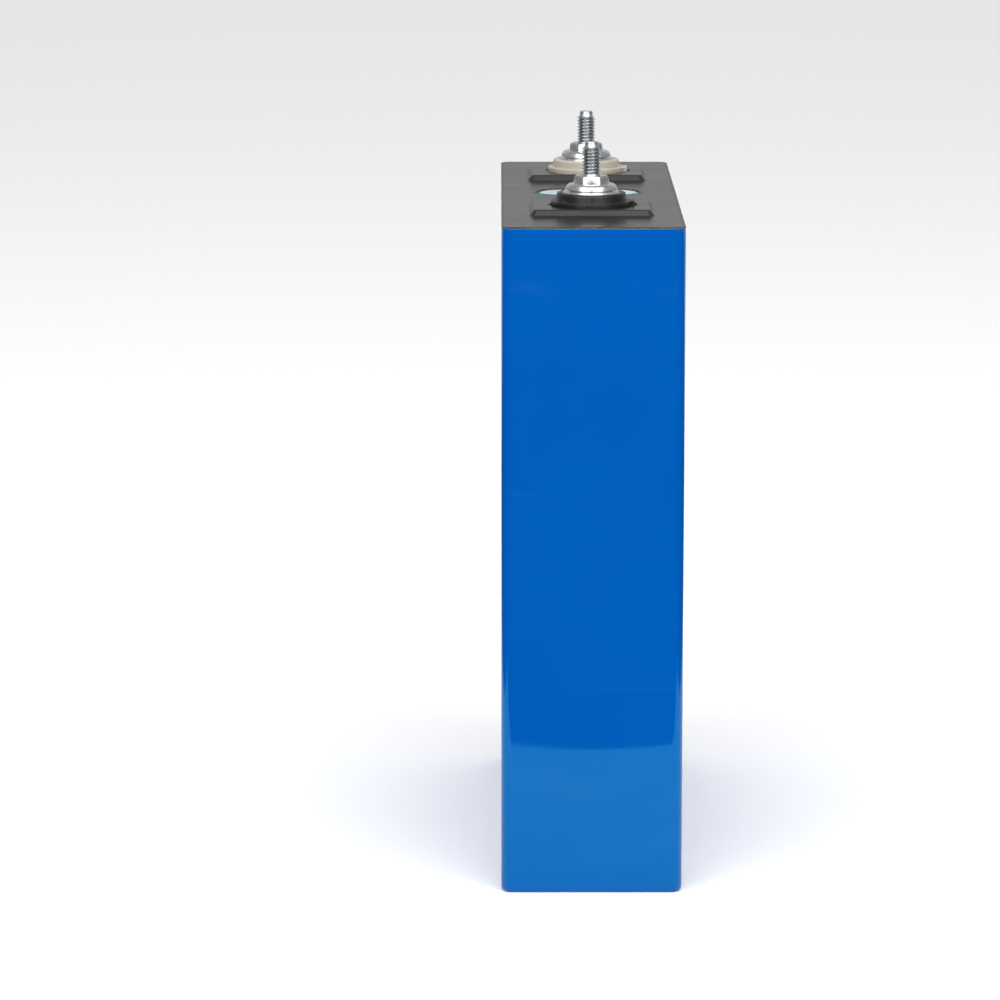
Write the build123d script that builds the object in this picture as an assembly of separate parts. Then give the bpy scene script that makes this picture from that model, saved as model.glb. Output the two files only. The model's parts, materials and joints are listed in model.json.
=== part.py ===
"""Prismatic lithium iron phosphate cell with two welded M6 studs, as its separate pieces.

Millimetres. Z is up, X is the cell's thickness and Y its depth. The origin is the middle of the base.
The positive terminal is at +Y and the negative terminal at -Y.
"""

import math
import os

from build123d import *

# Driving dimensions of the finished cell, over its wrap film.
CELL_THICKNESS = 55.0
CELL_DEPTH = 174.3
SHOULDER_HEIGHT = 202.5
TERMINAL_SPACING = 90.6

# Outer films.
WRAP_FILM = 0.3
BASE_FLAP = 14.0
BASE_FILM_GAP = 0.5
TOP_SHEET = 0.3
TOP_SHEET_INSET = 0.15
SHEET_CUTOUT_CLEARANCE = 0.45

# Drawn aluminium can.
CAN_WALL = 0.8
CAN_FLOOR = 1.5
CAN_CORNER = 3.2
CAN_BASE_EDGE = 1.2

# Lid plate, with a raised and hollow plateau at each terminal.
LID_THICKNESS = 2.4
LID_CLEARANCE = 0.05
LID_WELD_WIDTH = 0.7
LID_WELD_DEPTH = 0.5
PLATEAU_RISE = 1.9
PLATEAU_SLOPE = 1.6
PLATEAU_ROOF = 1.7
PLATEAU_WALL = 2.0
PLATEAU_MARGIN_X = 6.4
PLATEAU_MARGIN_Y = 2.25
PLATEAU_CORNER = 4.2
PLATEAU_EDGE = 0.6
PLATEAU_FOOT = 0.6

# Relief vent, a scored disc under a protective film.
VENT_LENGTH = 27.0
VENT_WIDTH = 10.0
VENT_Y = 3.2
VENT_LEDGE = 1.5
VENT_RIM = 1.0
VENT_MEMBRANE = 0.3
VENT_SCORE_DEPTH = 0.15
VENT_SCORE_WIDTH = 0.4
VENT_SCORE_INSET = 2.0
VENT_WELD_WIDTH = 0.6
VENT_WELD_DEPTH = 0.4
VENT_FILM = 0.2
VENT_FILM_OVERLAP = 2.0
VENT_FILM_GAP = 0.5

# Electrolyte fill port, closed by a rubber pin under a welded cap.
FILL_PORT_DIAMETER = 3.0
FILL_CAP_DIAMETER = 7.0
FILL_CAP_THICKNESS = 0.8
FILL_PIN_HEAD_DIAMETER = 4.6
FILL_PIN_HEAD = 0.6

# Terminals: pole from below, block on top, plastic and rubber between them and the lid.
POLE_DIAMETER = 8.0
POLE_FLANGE_DIAMETER = 18.0
POLE_SPIGOT_DIAMETER = 5.0
BLOCK_DIAMETER = 17.2
BLOCK_PROUD = 0.15
BLOCK_EDGE = 0.3
SEAL_WALL = 1.2
SEAL_WASHER_DIAMETER = 15.0
SEAL_WASHER = 1.4
RING_WALL = 2.05
RING_RISE = 2.5
RING_TAPER = 0.15
INSULATOR_FLOOR = 1.2
INSULATOR_FLANGE_RISE = 1.4
INSULATOR_FLANGE_REACH = 1.5
INSULATOR_TAB_REACH = 0.95
INSULATOR_TAB_WIDTH = 5.2
INSULATOR_EDGE = 0.35
TERMINAL_FIT = 0.05

# Hex-flange weld stud, M6.
STUD_MAJOR_DIAMETER = 5.9
STUD_THREAD_LENGTH = 8.5
STUD_LEAD_DIAMETER = 4.1
STUD_LEAD_LENGTH = 1.6
STUD_LEAD_CHAMFER = 0.4
STUD_FLANGE_DIAMETER = 15.9
STUD_FLANGE_RIM = 0.8
STUD_CONE_RISE = 1.7
STUD_CONE_TOP_DIAMETER = 11.3
STUD_HEX_FLATS = 10.0
STUD_HEX_RISE = 2.5
STUD_HEX_CHAMFER = 0.7
STUD_WELD_LEG = 0.35

# Plastic plates under the lid.
LOWER_INSULATOR = 1.2
LOWER_INSULATOR_FIT = 0.15
LOWER_INSULATOR_SPLIT = 15.0
FLANGE_FIT = 0.2
GRILLE_SLOTS = 7
GRILLE_SLOT_WIDTH = 1.6
GRILLE_RIB_WIDTH = 1.4
GRILLE_SLOT_LENGTH = 11.0

# Current collectors and the foil tabs welded under them.
COLLECTOR_THICKNESS = 1.5
COLLECTOR_END_MARGIN = 3.0
COLLECTOR_CORNER = 3.0
COLLECTOR_SIDE_GAP = 4.0
TAB_STACK = 1.0
TAB_WIDTH = 38.0
TAB_END_GAP = 8.4
TAB_FOLD_END = 4.0
TAB_FAN = 3.6
TAB_FOIL = 0.3
TAB_TAPE = 0.1
TAB_TAPE_OVERLAP = 2.0

# Wound electrodes. Each modelled turn stands for about eight wound ones.
ROLL_TURNS = 6
ROLL_CORE_GAP = 1.2
ROLL_GAP = 0.3
ROLL_CLEARANCE = 0.2
ROLL_HEADROOM = 6.6
SEPARATOR = 0.12
SEPARATOR_OVERHANG = 1.5
ANODE_OVERHANG = 0.8
CLOSING_TAPE = 0.1
CLOSING_TAPE_WIDTH = 20.0

# Insulating bag and the spacer under it.
BAG_FILM = 0.2
BAG_CLEARANCE = 0.1
BAG_RISE = 2.0
SPACER_THICKNESS = 1.2
SPACER_HOLE_DIAMETER = 6.0
SPACER_HOLES = 9

# Outlines that follow from the sizes above.
CAN_X = CELL_THICKNESS - 2 * WRAP_FILM
CAN_Y = CELL_DEPTH - 2 * WRAP_FILM
BORE_X = CAN_X - 2 * CAN_WALL
BORE_Y = CAN_Y - 2 * CAN_WALL
BORE_CORNER = CAN_CORNER - CAN_WALL

RING_DIAMETER = BLOCK_DIAMETER + 2 * TERMINAL_FIT + 2 * RING_WALL
INSULATOR_DIAMETER = RING_DIAMETER + 2 * INSULATOR_FLANGE_REACH
SHEET_HOLE_DIAMETER = INSULATOR_DIAMETER + 2 * SHEET_CUTOUT_CLEARANCE
PLATEAU_X = INSULATOR_DIAMETER + 2 * PLATEAU_MARGIN_X
PLATEAU_Y = INSULATOR_DIAMETER + 2 * PLATEAU_MARGIN_Y
LID_HOLE_DIAMETER = POLE_DIAMETER + 2 * SEAL_WALL
TERMINAL_Y = TERMINAL_SPACING / 2

VENT_FILM_LENGTH = VENT_LENGTH + 2 * VENT_FILM_OVERLAP
VENT_FILM_WIDTH = VENT_WIDTH + 2 * VENT_FILM_OVERLAP
FILL_PORT_Y = (VENT_Y + VENT_FILM_WIDTH / 2 + TERMINAL_Y - PLATEAU_Y / 2) / 2

# Levels, from the lid upwards and then down to the base.
LID_TOP = SHOULDER_HEIGHT - TOP_SHEET
LID_UNDERSIDE = LID_TOP - LID_THICKNESS
PLATEAU_TOP = LID_TOP + PLATEAU_RISE
PLATEAU_CEILING = PLATEAU_TOP - PLATEAU_ROOF
FLANGE_TOP = PLATEAU_TOP + TOP_SHEET + INSULATOR_FLANGE_RISE
RING_TOP = FLANGE_TOP + RING_RISE
BLOCK_TOP = RING_TOP + BLOCK_PROUD
BLOCK_SEAT = PLATEAU_TOP + INSULATOR_FLOOR
POLE_FLANGE_TOP = PLATEAU_CEILING - SEAL_WASHER
COLLECTOR_TOP = LID_UNDERSIDE - LOWER_INSULATOR
COLLECTOR_UNDERSIDE = COLLECTOR_TOP - COLLECTOR_THICKNESS
CAN_BASE = WRAP_FILM
CAN_FLOOR_TOP = CAN_BASE + CAN_FLOOR
SPACER_TOP = CAN_FLOOR_TOP + SPACER_THICKNESS
ROLL_BASE = SPACER_TOP + BAG_FILM
ROLL_TOP = COLLECTOR_UNDERSIDE - ROLL_HEADROOM

# Roll outlines: two flat windings side by side inside the bag.
BAG_X = BORE_X - 2 * BAG_CLEARANCE
BAG_Y = BORE_Y - 2 * BAG_CLEARANCE
BAG_CORNER = BORE_CORNER - BAG_CLEARANCE
ROLL_THICKNESS = (BAG_X - 2 * BAG_FILM - 2 * ROLL_CLEARANCE - ROLL_GAP) / 2
ROLL_DEPTH = BAG_Y - 2 * BAG_FILM - 2 * ROLL_CLEARANCE
ROLL_X = (ROLL_THICKNESS + ROLL_GAP) / 2
ROLL_STRAIGHT = ROLL_DEPTH - ROLL_THICKNESS
TURN_PITCH = (ROLL_THICKNESS - ROLL_CORE_GAP) / 2 / ROLL_TURNS
ELECTRODE = TURN_PITCH / 2 - SEPARATOR
TAB_Y = ROLL_STRAIGHT / 2 - TAB_END_GAP - TAB_WIDTH / 2

SIDES = {"left": -1, "right": 1}
POLES = {"negative": -1, "positive": 1}
TURNED = {"negative": 180, "positive": 0}


def block(size_x, size_y, corner, low, high):
    """Upright prism on a rounded rectangle."""
    outline = RectangleRounded(size_x, size_y, corner)
    return Pos(0, 0, low) * extrude(outline, amount=high - low)


def disc(diameter, low, high):
    """Upright cylinder on the Z axis."""
    return Pos(0, 0, low) * extrude(Circle(diameter / 2), amount=high - low)


def stadium(length, width, low, high):
    """Upright prism on an oval with straight sides, its length along X."""
    return Pos(0, 0, low) * extrude(SlotOverall(length, width), amount=high - low)


def racetrack(half_thickness, low, high):
    """Upright prism on a roll's outline, its length along Y."""
    outline = SlotOverall(ROLL_STRAIGHT + 2 * half_thickness, 2 * half_thickness, rotation=90)
    return Pos(0, 0, low) * extrude(outline, amount=high - low)


def turned(profile):
    """Solid of revolution about Z, from (radius, height) points."""
    outline = make_face(Polyline([(radius, 0, height) for radius, height in profile], close=True))
    return revolve(outline, Axis.Z)


def level_edges(solid, height):
    """Edges of the solid that lie flat at one height."""
    return solid.edges().filter_by_position(Axis.Z, height - 0.01, height + 0.01)


def at_terminal(solid, pole):
    """Move a solid from the Z axis to a terminal's axis."""
    return Pos(0, POLES[pole] * TERMINAL_Y, 0) * solid


def at_vent(solid):
    """Move a solid from the Z axis to the vent's middle."""
    return Pos(0, VENT_Y, 0) * solid


def write(name, solid):
    """Write one node's STEP file."""
    export_step(solid, f"parts/{name}.step")


def outer_form(size_x, size_y, corner, base_edge, low, high):
    """Rounded box with softened edges round its base."""
    form = block(size_x, size_y, corner, low, high)
    return fillet(level_edges(form, low), base_edge)


def can_form():
    return outer_form(CAN_X, CAN_Y, CAN_CORNER, CAN_BASE_EDGE, CAN_BASE, LID_TOP)


def can():
    """Deep-drawn can, open at the top, grooved at its mouth for the lid weld."""
    bore = block(BORE_X, BORE_Y, BORE_CORNER, CAN_FLOOR_TOP, LID_TOP)
    return can_form() - bore - lid_weld_bead()


def lid_weld_bead():
    """Laser weld between the can's mouth and the lid's edge."""
    half = LID_WELD_WIDTH / 2
    low = LID_TOP - LID_WELD_DEPTH
    outside = block(BORE_X + 2 * half, BORE_Y + 2 * half, BORE_CORNER + half, low, LID_TOP)
    inside = block(BORE_X - 2 * half, BORE_Y - 2 * half, BORE_CORNER - half, low, LID_TOP)
    return outside - inside


def sloped_pad(size_x, size_y, corner, low, high):
    """Rounded pad whose walls lean in as a plateau's do, measured at its base."""
    lean = PLATEAU_SLOPE / PLATEAU_RISE * (high - low)
    base = RectangleRounded(size_x, size_y, corner)
    roof = RectangleRounded(size_x - 2 * lean, size_y - 2 * lean, corner - lean)
    return loft([Pos(0, 0, low) * base, Pos(0, 0, high) * roof], ruled=True)


def plateau():
    """Raised pad of the lid at one terminal, before it is hollowed."""
    pad = sloped_pad(PLATEAU_X, PLATEAU_Y, PLATEAU_CORNER, LID_TOP, PLATEAU_TOP)
    pad = fillet(level_edges(pad, PLATEAU_TOP), PLATEAU_EDGE)
    return pad + block(PLATEAU_X, PLATEAU_Y, PLATEAU_CORNER, LID_UNDERSIDE, LID_TOP)


def plateau_pocket():
    """Hollow under a plateau, open to the inside of the can."""
    corner = PLATEAU_CORNER - PLATEAU_WALL
    size_x = PLATEAU_X - 2 * PLATEAU_WALL
    size_y = PLATEAU_Y - 2 * PLATEAU_WALL
    return block(size_x, size_y, corner, LID_UNDERSIDE, PLATEAU_CEILING)


def lid_plate():
    """Stamped lid with its plateaus, terminal holes, vent seat and fill port."""
    corner = BORE_CORNER - LID_CLEARANCE
    size_x = BORE_X - 2 * LID_CLEARANCE
    size_y = BORE_Y - 2 * LID_CLEARANCE
    lid = block(size_x, size_y, corner, LID_UNDERSIDE, LID_TOP)
    for pole in POLES:
        lid += at_terminal(plateau(), pole)
        lid -= at_terminal(plateau_pocket(), pole)
        lid -= at_terminal(disc(LID_HOLE_DIAMETER, PLATEAU_CEILING, PLATEAU_TOP), pole)
    lid -= at_vent(stadium(VENT_LENGTH, VENT_WIDTH, LID_TOP - VENT_RIM, LID_TOP))
    throat_length = VENT_LENGTH - 2 * VENT_LEDGE
    throat_width = VENT_WIDTH - 2 * VENT_LEDGE
    lid -= at_vent(stadium(throat_length, throat_width, LID_UNDERSIDE, LID_TOP))
    lid -= Pos(0, FILL_PORT_Y, 0) * fill_port()
    return lid - lid_weld_bead() - at_vent(vent_weld_bead())


def fill_port():
    """Stepped hole for the pin and its cap."""
    cap_seat = LID_TOP - FILL_CAP_THICKNESS
    hole = disc(FILL_PORT_DIAMETER, LID_UNDERSIDE, LID_TOP)
    hole += disc(FILL_PIN_HEAD_DIAMETER, cap_seat - FILL_PIN_HEAD, LID_TOP)
    return hole + disc(FILL_CAP_DIAMETER, cap_seat, LID_TOP)


def fill_port_pin():
    """Rubber pin with a flat head, seated in the port."""
    head_top = LID_TOP - FILL_CAP_THICKNESS
    pin = disc(FILL_PORT_DIAMETER, LID_UNDERSIDE, head_top)
    pin += disc(FILL_PIN_HEAD_DIAMETER, head_top - FILL_PIN_HEAD, head_top)
    return Pos(0, FILL_PORT_Y, 0) * pin


def fill_port_cap():
    """Disc welded over the pin, flush with the lid."""
    return Pos(0, FILL_PORT_Y, 0) * disc(FILL_CAP_DIAMETER, LID_TOP - FILL_CAP_THICKNESS, LID_TOP)


def vent_weld_bead():
    """Laser weld round the vent disc."""
    low = LID_TOP - VENT_WELD_DEPTH
    half = VENT_WELD_WIDTH / 2
    outside = stadium(VENT_LENGTH + 2 * half, VENT_WIDTH + 2 * half, low, LID_TOP)
    return outside - stadium(VENT_LENGTH - 2 * half, VENT_WIDTH - 2 * half, low, LID_TOP)


def vent_disc():
    """Thick rim round a thin membrane with a scored oval that tears under pressure."""
    low = LID_TOP - VENT_RIM
    membrane_top = low + VENT_MEMBRANE
    inner_length = VENT_LENGTH - 2 * VENT_LEDGE
    inner_width = VENT_WIDTH - 2 * VENT_LEDGE
    rim = stadium(VENT_LENGTH, VENT_WIDTH, low, LID_TOP) - vent_weld_bead()
    disc_solid = rim - stadium(inner_length, inner_width, membrane_top, LID_TOP)
    score_length = inner_length - 2 * VENT_SCORE_INSET
    score_width = inner_width - 2 * VENT_SCORE_INSET
    score_low = membrane_top - VENT_SCORE_DEPTH
    score = stadium(score_length, score_width, score_low, membrane_top)
    score -= stadium(
        score_length - 2 * VENT_SCORE_WIDTH,
        score_width - 2 * VENT_SCORE_WIDTH,
        score_low,
        membrane_top,
    )
    return disc_solid - score


def vent_film():
    """Thin clear film stuck to the lid over the vent."""
    return stadium(VENT_FILM_LENGTH, VENT_FILM_WIDTH, LID_TOP, LID_TOP + VENT_FILM)


def sheet_cutout():
    """Hole in the top sheet round one terminal's insulator and its tab."""
    top = PLATEAU_TOP + TOP_SHEET
    hole = disc(SHEET_HOLE_DIAMETER, LID_UNDERSIDE, top)
    reach = INSULATOR_DIAMETER / 2 + INSULATOR_TAB_REACH + SHEET_CUTOUT_CLEARANCE
    width = INSULATOR_TAB_WIDTH + 2 * SHEET_CUTOUT_CLEARANCE
    return hole + Pos(reach / 2, 0, (LID_UNDERSIDE + top) / 2) * Box(reach, width, top - LID_UNDERSIDE)


def embossed_pad():
    """Top sheet's outer form over one plateau."""
    grow = TOP_SHEET * math.hypot(PLATEAU_RISE, PLATEAU_SLOPE) / PLATEAU_RISE
    top = PLATEAU_TOP + TOP_SHEET
    pad = sloped_pad(PLATEAU_X + 2 * grow, PLATEAU_Y + 2 * grow, PLATEAU_CORNER + grow, LID_TOP, top)
    return fillet(level_edges(pad, top), PLATEAU_EDGE + TOP_SHEET)


def top_sheet():
    """Black insulating sheet over the whole lid, formed over the plateaus."""
    size_x = CELL_THICKNESS - 2 * TOP_SHEET_INSET
    size_y = CELL_DEPTH - 2 * TOP_SHEET_INSET
    corner = CAN_CORNER + WRAP_FILM - TOP_SHEET_INSET
    sheet = block(size_x, size_y, corner, LID_TOP, SHOULDER_HEIGHT)
    for pole in POLES:
        sheet += at_terminal(embossed_pad(), pole)
    feet = level_edges(sheet, SHOULDER_HEIGHT)
    inner_feet = feet.filter_by(lambda edge: abs(edge.center().X) < PLATEAU_X / 2 + 2 * TOP_SHEET)
    inner_feet = inner_feet.filter_by(lambda edge: abs(edge.center().Y) < CELL_DEPTH / 2 - PLATEAU_MARGIN_Y)
    sheet = fillet(inner_feet, PLATEAU_FOOT)
    for pole in POLES:
        sheet -= at_terminal(plateau(), pole)
        sheet -= at_terminal(sheet_cutout(), pole)
    window_length = VENT_FILM_LENGTH + 2 * VENT_FILM_GAP
    window_width = VENT_FILM_WIDTH + 2 * VENT_FILM_GAP
    return sheet - at_vent(stadium(window_length, window_width, LID_TOP, SHOULDER_HEIGHT))


def base_window(gap):
    """Opening inside the wrap's folded base flaps, less a gap all round."""
    size_x = CELL_THICKNESS - 2 * BASE_FLAP - 2 * gap
    size_y = CELL_DEPTH - 2 * BASE_FLAP - 2 * gap
    return block(size_x, size_y, CAN_CORNER, 0, WRAP_FILM)


def wrap_sleeve():
    """Blue film round the can's sides, folded in under its base."""
    corner = CAN_CORNER + WRAP_FILM
    outside = outer_form(CELL_THICKNESS, CELL_DEPTH, corner, CAN_BASE_EDGE + WRAP_FILM, 0, LID_TOP)
    return outside - can_form() - base_window(0)


def base_film():
    """Separate film patch between the wrap's folded flaps."""
    return base_window(BASE_FILM_GAP)


def pole(spigot_low):
    """Pole: lower flange, stem up through the lid, and a spigot down into the collector."""
    stem = POLE_DIAMETER / 2
    flange = POLE_FLANGE_DIAMETER / 2
    spigot = POLE_SPIGOT_DIAMETER / 2
    return turned([
        (0, spigot_low),
        (spigot, spigot_low),
        (spigot, COLLECTOR_TOP),
        (flange, COLLECTOR_TOP),
        (flange, POLE_FLANGE_TOP),
        (stem, POLE_FLANGE_TOP),
        (stem, BLOCK_TOP),
        (0, BLOCK_TOP),
    ])


def terminal_block():
    """Aluminium block riveted and welded to the pole's top end."""
    solid = disc(BLOCK_DIAMETER, BLOCK_SEAT, BLOCK_TOP)
    solid = fillet(level_edges(solid, BLOCK_TOP), BLOCK_EDGE)
    return solid - disc(POLE_DIAMETER, BLOCK_SEAT, BLOCK_TOP)


def seal_ring():
    """Rubber seal: washer under the plateau's roof and a collar up its hole."""
    stem = POLE_DIAMETER / 2
    return turned([
        (stem, POLE_FLANGE_TOP),
        (SEAL_WASHER_DIAMETER / 2, POLE_FLANGE_TOP),
        (SEAL_WASHER_DIAMETER / 2, PLATEAU_CEILING),
        (LID_HOLE_DIAMETER / 2, PLATEAU_CEILING),
        (LID_HOLE_DIAMETER / 2, PLATEAU_TOP),
        (stem, PLATEAU_TOP),
    ])


def insulator_tab():
    """Locating tab on the flange's +X side."""
    reach = INSULATOR_DIAMETER / 2 + INSULATOR_TAB_REACH
    rise = FLANGE_TOP - PLATEAU_TOP
    start = RING_DIAMETER / 2
    tab = Box(reach - start, INSULATOR_TAB_WIDTH, rise)
    return Pos((reach + start) / 2, 0, PLATEAU_TOP + rise / 2) * tab


def upper_insulator():
    """Moulded ring round the block, with a flange that rests on the plateau."""
    bore = BLOCK_DIAMETER / 2 + TERMINAL_FIT
    ring = RING_DIAMETER / 2
    flange = INSULATOR_DIAMETER / 2
    solid = turned([
        (POLE_DIAMETER / 2 + TERMINAL_FIT, PLATEAU_TOP),
        (flange, PLATEAU_TOP),
        (flange, FLANGE_TOP),
        (ring, FLANGE_TOP),
        (ring - RING_TAPER, RING_TOP),
        (bore, RING_TOP),
        (bore, BLOCK_SEAT),
        (POLE_DIAMETER / 2 + TERMINAL_FIT, BLOCK_SEAT),
    ])
    rim_edges = level_edges(solid, RING_TOP).filter_by(lambda edge: edge.radius > bore + RING_TAPER)
    rim_edges += level_edges(solid, FLANGE_TOP).filter_by(lambda edge: edge.radius > ring + RING_TAPER)
    return fillet(rim_edges, INSULATOR_EDGE) + insulator_tab()


def stud():
    """Hex-flange weld stud with a plain body for its M6 thread and a narrow lead tip."""
    flange = STUD_FLANGE_DIAMETER / 2
    rim_top = BLOCK_TOP + STUD_FLANGE_RIM
    cone_top = rim_top + STUD_CONE_RISE
    hex_top = cone_top + STUD_HEX_RISE
    thread_top = hex_top + STUD_THREAD_LENGTH
    lead_top = thread_top + STUD_LEAD_LENGTH
    base = turned([
        (0, BLOCK_TOP),
        (flange, BLOCK_TOP),
        (flange, rim_top),
        (STUD_CONE_TOP_DIAMETER / 2, cone_top),
        (0, cone_top),
    ])
    hexagon = RegularPolygon(STUD_HEX_FLATS / 2, 6, major_radius=False)
    nut = Pos(0, 0, rim_top) * extrude(hexagon, amount=hex_top - rim_top)
    corners = nut.bounding_box().size.X
    envelope = chamfer(level_edges(disc(corners, rim_top, hex_top), hex_top), STUD_HEX_CHAMFER)
    body = disc(STUD_MAJOR_DIAMETER, hex_top, thread_top)
    lead = disc(STUD_LEAD_DIAMETER, thread_top, lead_top)
    lead = chamfer(level_edges(lead, lead_top), STUD_LEAD_CHAMFER)
    return base + (nut & envelope) + body + lead


def stud_weld():
    """Weld fillet round the stud's flange, on the block's top."""
    flange = STUD_FLANGE_DIAMETER / 2
    return turned([
        (flange, BLOCK_TOP),
        (flange + STUD_WELD_LEG, BLOCK_TOP),
        (flange, BLOCK_TOP + STUD_WELD_LEG),
    ])


def lower_insulator(low_y, high_y, pole_name):
    """Plate under part of the lid, with a raised block that fills the plateau's pocket."""
    size_x = BORE_X - 2 * LOWER_INSULATOR_FIT
    corner = BORE_CORNER - LOWER_INSULATOR_FIT
    plate = block(size_x, high_y - low_y, corner, COLLECTOR_TOP, LID_UNDERSIDE)
    plate = Pos(0, (low_y + high_y) / 2, 0) * plate
    plate += at_terminal(pocket_filler(), pole_name)
    flange_hole = disc(POLE_FLANGE_DIAMETER + 2 * FLANGE_FIT, COLLECTOR_TOP, PLATEAU_CEILING)
    return plate - at_terminal(flange_hole, pole_name)


def negative_lower_insulator():
    """Short lower plate, from the can's wall to the split beside the vent."""
    low_y = LOWER_INSULATOR_FIT - BORE_Y / 2
    high_y = -LOWER_INSULATOR_SPLIT - LOWER_INSULATOR_FIT
    return lower_insulator(low_y, high_y, "negative")


def positive_lower_insulator():
    """Long lower plate, which also carries the vent's grille and the fill port's hole."""
    high_y = BORE_Y / 2 - LOWER_INSULATOR_FIT
    plate = lower_insulator(-LOWER_INSULATOR_SPLIT, high_y, "positive")
    port = disc(FILL_CAP_DIAMETER, COLLECTOR_TOP, LID_UNDERSIDE)
    return plate - vent_grille() - Pos(0, FILL_PORT_Y, 0) * port


def pocket_filler():
    """Raised block of the lower insulator, inside the plateau's pocket."""
    shrink = PLATEAU_WALL + LOWER_INSULATOR_FIT
    corner = PLATEAU_CORNER - shrink
    size_x = PLATEAU_X - 2 * shrink
    size_y = PLATEAU_Y - 2 * shrink
    return block(size_x, size_y, corner, COLLECTOR_TOP, PLATEAU_CEILING - LOWER_INSULATOR_FIT)


def vent_grille():
    """Row of slots that let gas reach the vent."""
    pitch = GRILLE_SLOT_WIDTH + GRILLE_RIB_WIDTH
    slot = Box(GRILLE_SLOT_WIDTH, GRILLE_SLOT_LENGTH, LOWER_INSULATOR)
    middle_z = (COLLECTOR_TOP + LID_UNDERSIDE) / 2
    first = -pitch * (GRILLE_SLOTS - 1) / 2
    return [Pos(first + number * pitch, 0, middle_z) * slot for number in range(GRILLE_SLOTS)]


def collector():
    """Flat plate that joins the pole to both rolls' tabs, at the positive end."""
    low_y = min(TAB_Y - TAB_WIDTH / 2, TERMINAL_Y - POLE_FLANGE_DIAMETER / 2) - COLLECTOR_END_MARGIN
    high_y = max(TAB_Y + TAB_WIDTH / 2, TERMINAL_Y + POLE_FLANGE_DIAMETER / 2) + COLLECTOR_END_MARGIN
    size_x = BORE_X - 2 * COLLECTOR_SIDE_GAP
    plate = block(size_x, high_y - low_y, COLLECTOR_CORNER, COLLECTOR_UNDERSIDE, COLLECTOR_TOP)
    plate = Pos(0, (low_y + high_y) / 2, 0) * plate
    return plate - Pos(0, TERMINAL_Y, 0) * disc(POLE_SPIGOT_DIAMETER, COLLECTOR_UNDERSIDE, COLLECTOR_TOP)


def electrode_middle(turn, electrode):
    """Distance from a roll's middle plane to the middle of one electrode turn."""
    start = ROLL_CORE_GAP / 2 + turn * TURN_PITCH
    offset = ELECTRODE / 2 if electrode == "anode" else ELECTRODE * 1.5 + SEPARATOR
    return start + offset


def electrode_top(electrode):
    """Upper edge of an electrode strip, below the separator's edge."""
    anode_top = ROLL_TOP - SEPARATOR_OVERHANG
    return anode_top if electrode == "anode" else anode_top - ANODE_OVERHANG


def tab_foils(electrode):
    """Sections of the foils that stand out of each turn, about a roll's middle plane."""
    rise = ROLL_TOP - electrode_top(electrode)
    foil = Rectangle(TAB_FOIL, rise)
    foils = []
    for turn in range(ROLL_TURNS):
        for flank in (-1, 1):
            foils.append(Pos(flank * electrode_middle(turn, electrode), ROLL_TOP - rise / 2) * foil)
    return foils


def tab_fan(electrode):
    """Section where the foils of all turns lean together into one stack."""
    half_width = electrode_middle(ROLL_TURNS - 1, electrode) + TAB_FOIL / 2
    neck = TAB_STACK / 2
    neck_height = ROLL_TOP + TAB_FAN
    return Polygon(
        (-half_width, ROLL_TOP),
        (half_width, ROLL_TOP),
        (neck, neck_height),
        (-neck, neck_height),
        align=None,
    )


def tab_fold(sign):
    """Section of the stack's upright leg and of its fold in towards the cell's middle."""
    leg_height = COLLECTOR_UNDERSIDE - ROLL_TOP
    leg = Pos(0, ROLL_TOP + leg_height / 2) * Rectangle(TAB_STACK, leg_height)
    fold_length = ROLL_X + TAB_STACK / 2 - TAB_FOLD_END
    fold_middle = -sign * (ROLL_X - TAB_FOLD_END - TAB_STACK / 2) / 2
    fold = Pos(fold_middle, COLLECTOR_UNDERSIDE - TAB_STACK / 2) * Rectangle(fold_length, TAB_STACK)
    return leg + fold


def tab_stack(side, pole_name):
    """Foil tabs of one roll, gathered into a stack and folded in under the collector."""
    electrode = "cathode" if pole_name == "positive" else "anode"
    section = tab_fan(electrode) + tab_fold(SIDES[side]) + tab_foils(electrode)
    upright = Plane.XZ * Pos(SIDES[side] * ROLL_X, 0) * section
    stack = extrude(upright, amount=TAB_WIDTH / 2, both=True)
    return Pos(0, POLES[pole_name] * TAB_Y, 0) * stack


def tab_tape(pole_name):
    """Insulating tape across the folded tabs of both rolls."""
    top = COLLECTOR_UNDERSIDE - TAB_STACK
    size_x = 2 * (ROLL_X - TAB_STACK)
    size_y = TAB_WIDTH + 2 * TAB_TAPE_OVERLAP
    return Pos(0, POLES[pole_name] * TAB_Y, top - TAB_TAPE / 2) * Box(size_x, size_y, TAB_TAPE)


def winding(inner, thickness, low, high):
    """One closed turn of a roll, standing on end."""
    return racetrack(inner + thickness, low, high) - racetrack(inner, low, high)


def roll_turns(side, layer):
    """All turns of one layer of a roll, as separate solids."""
    anode_low = ROLL_BASE + SEPARATOR_OVERHANG
    turns = []
    for turn in range(ROLL_TURNS):
        anode = ROLL_CORE_GAP / 2 + turn * TURN_PITCH
        cathode = anode + ELECTRODE + SEPARATOR
        if layer == "anode":
            turns.append(winding(anode, ELECTRODE, anode_low, electrode_top(layer)))
        elif layer == "cathode":
            low = anode_low + ANODE_OVERHANG
            turns.append(winding(cathode, ELECTRODE, low, electrode_top(layer)))
        else:
            turns.append(winding(anode + ELECTRODE, SEPARATOR, ROLL_BASE, ROLL_TOP))
            turns.append(winding(cathode + ELECTRODE, SEPARATOR, ROLL_BASE, ROLL_TOP))
    return Pos(SIDES[side] * ROLL_X, 0, 0) * Compound(children=turns)


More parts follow.
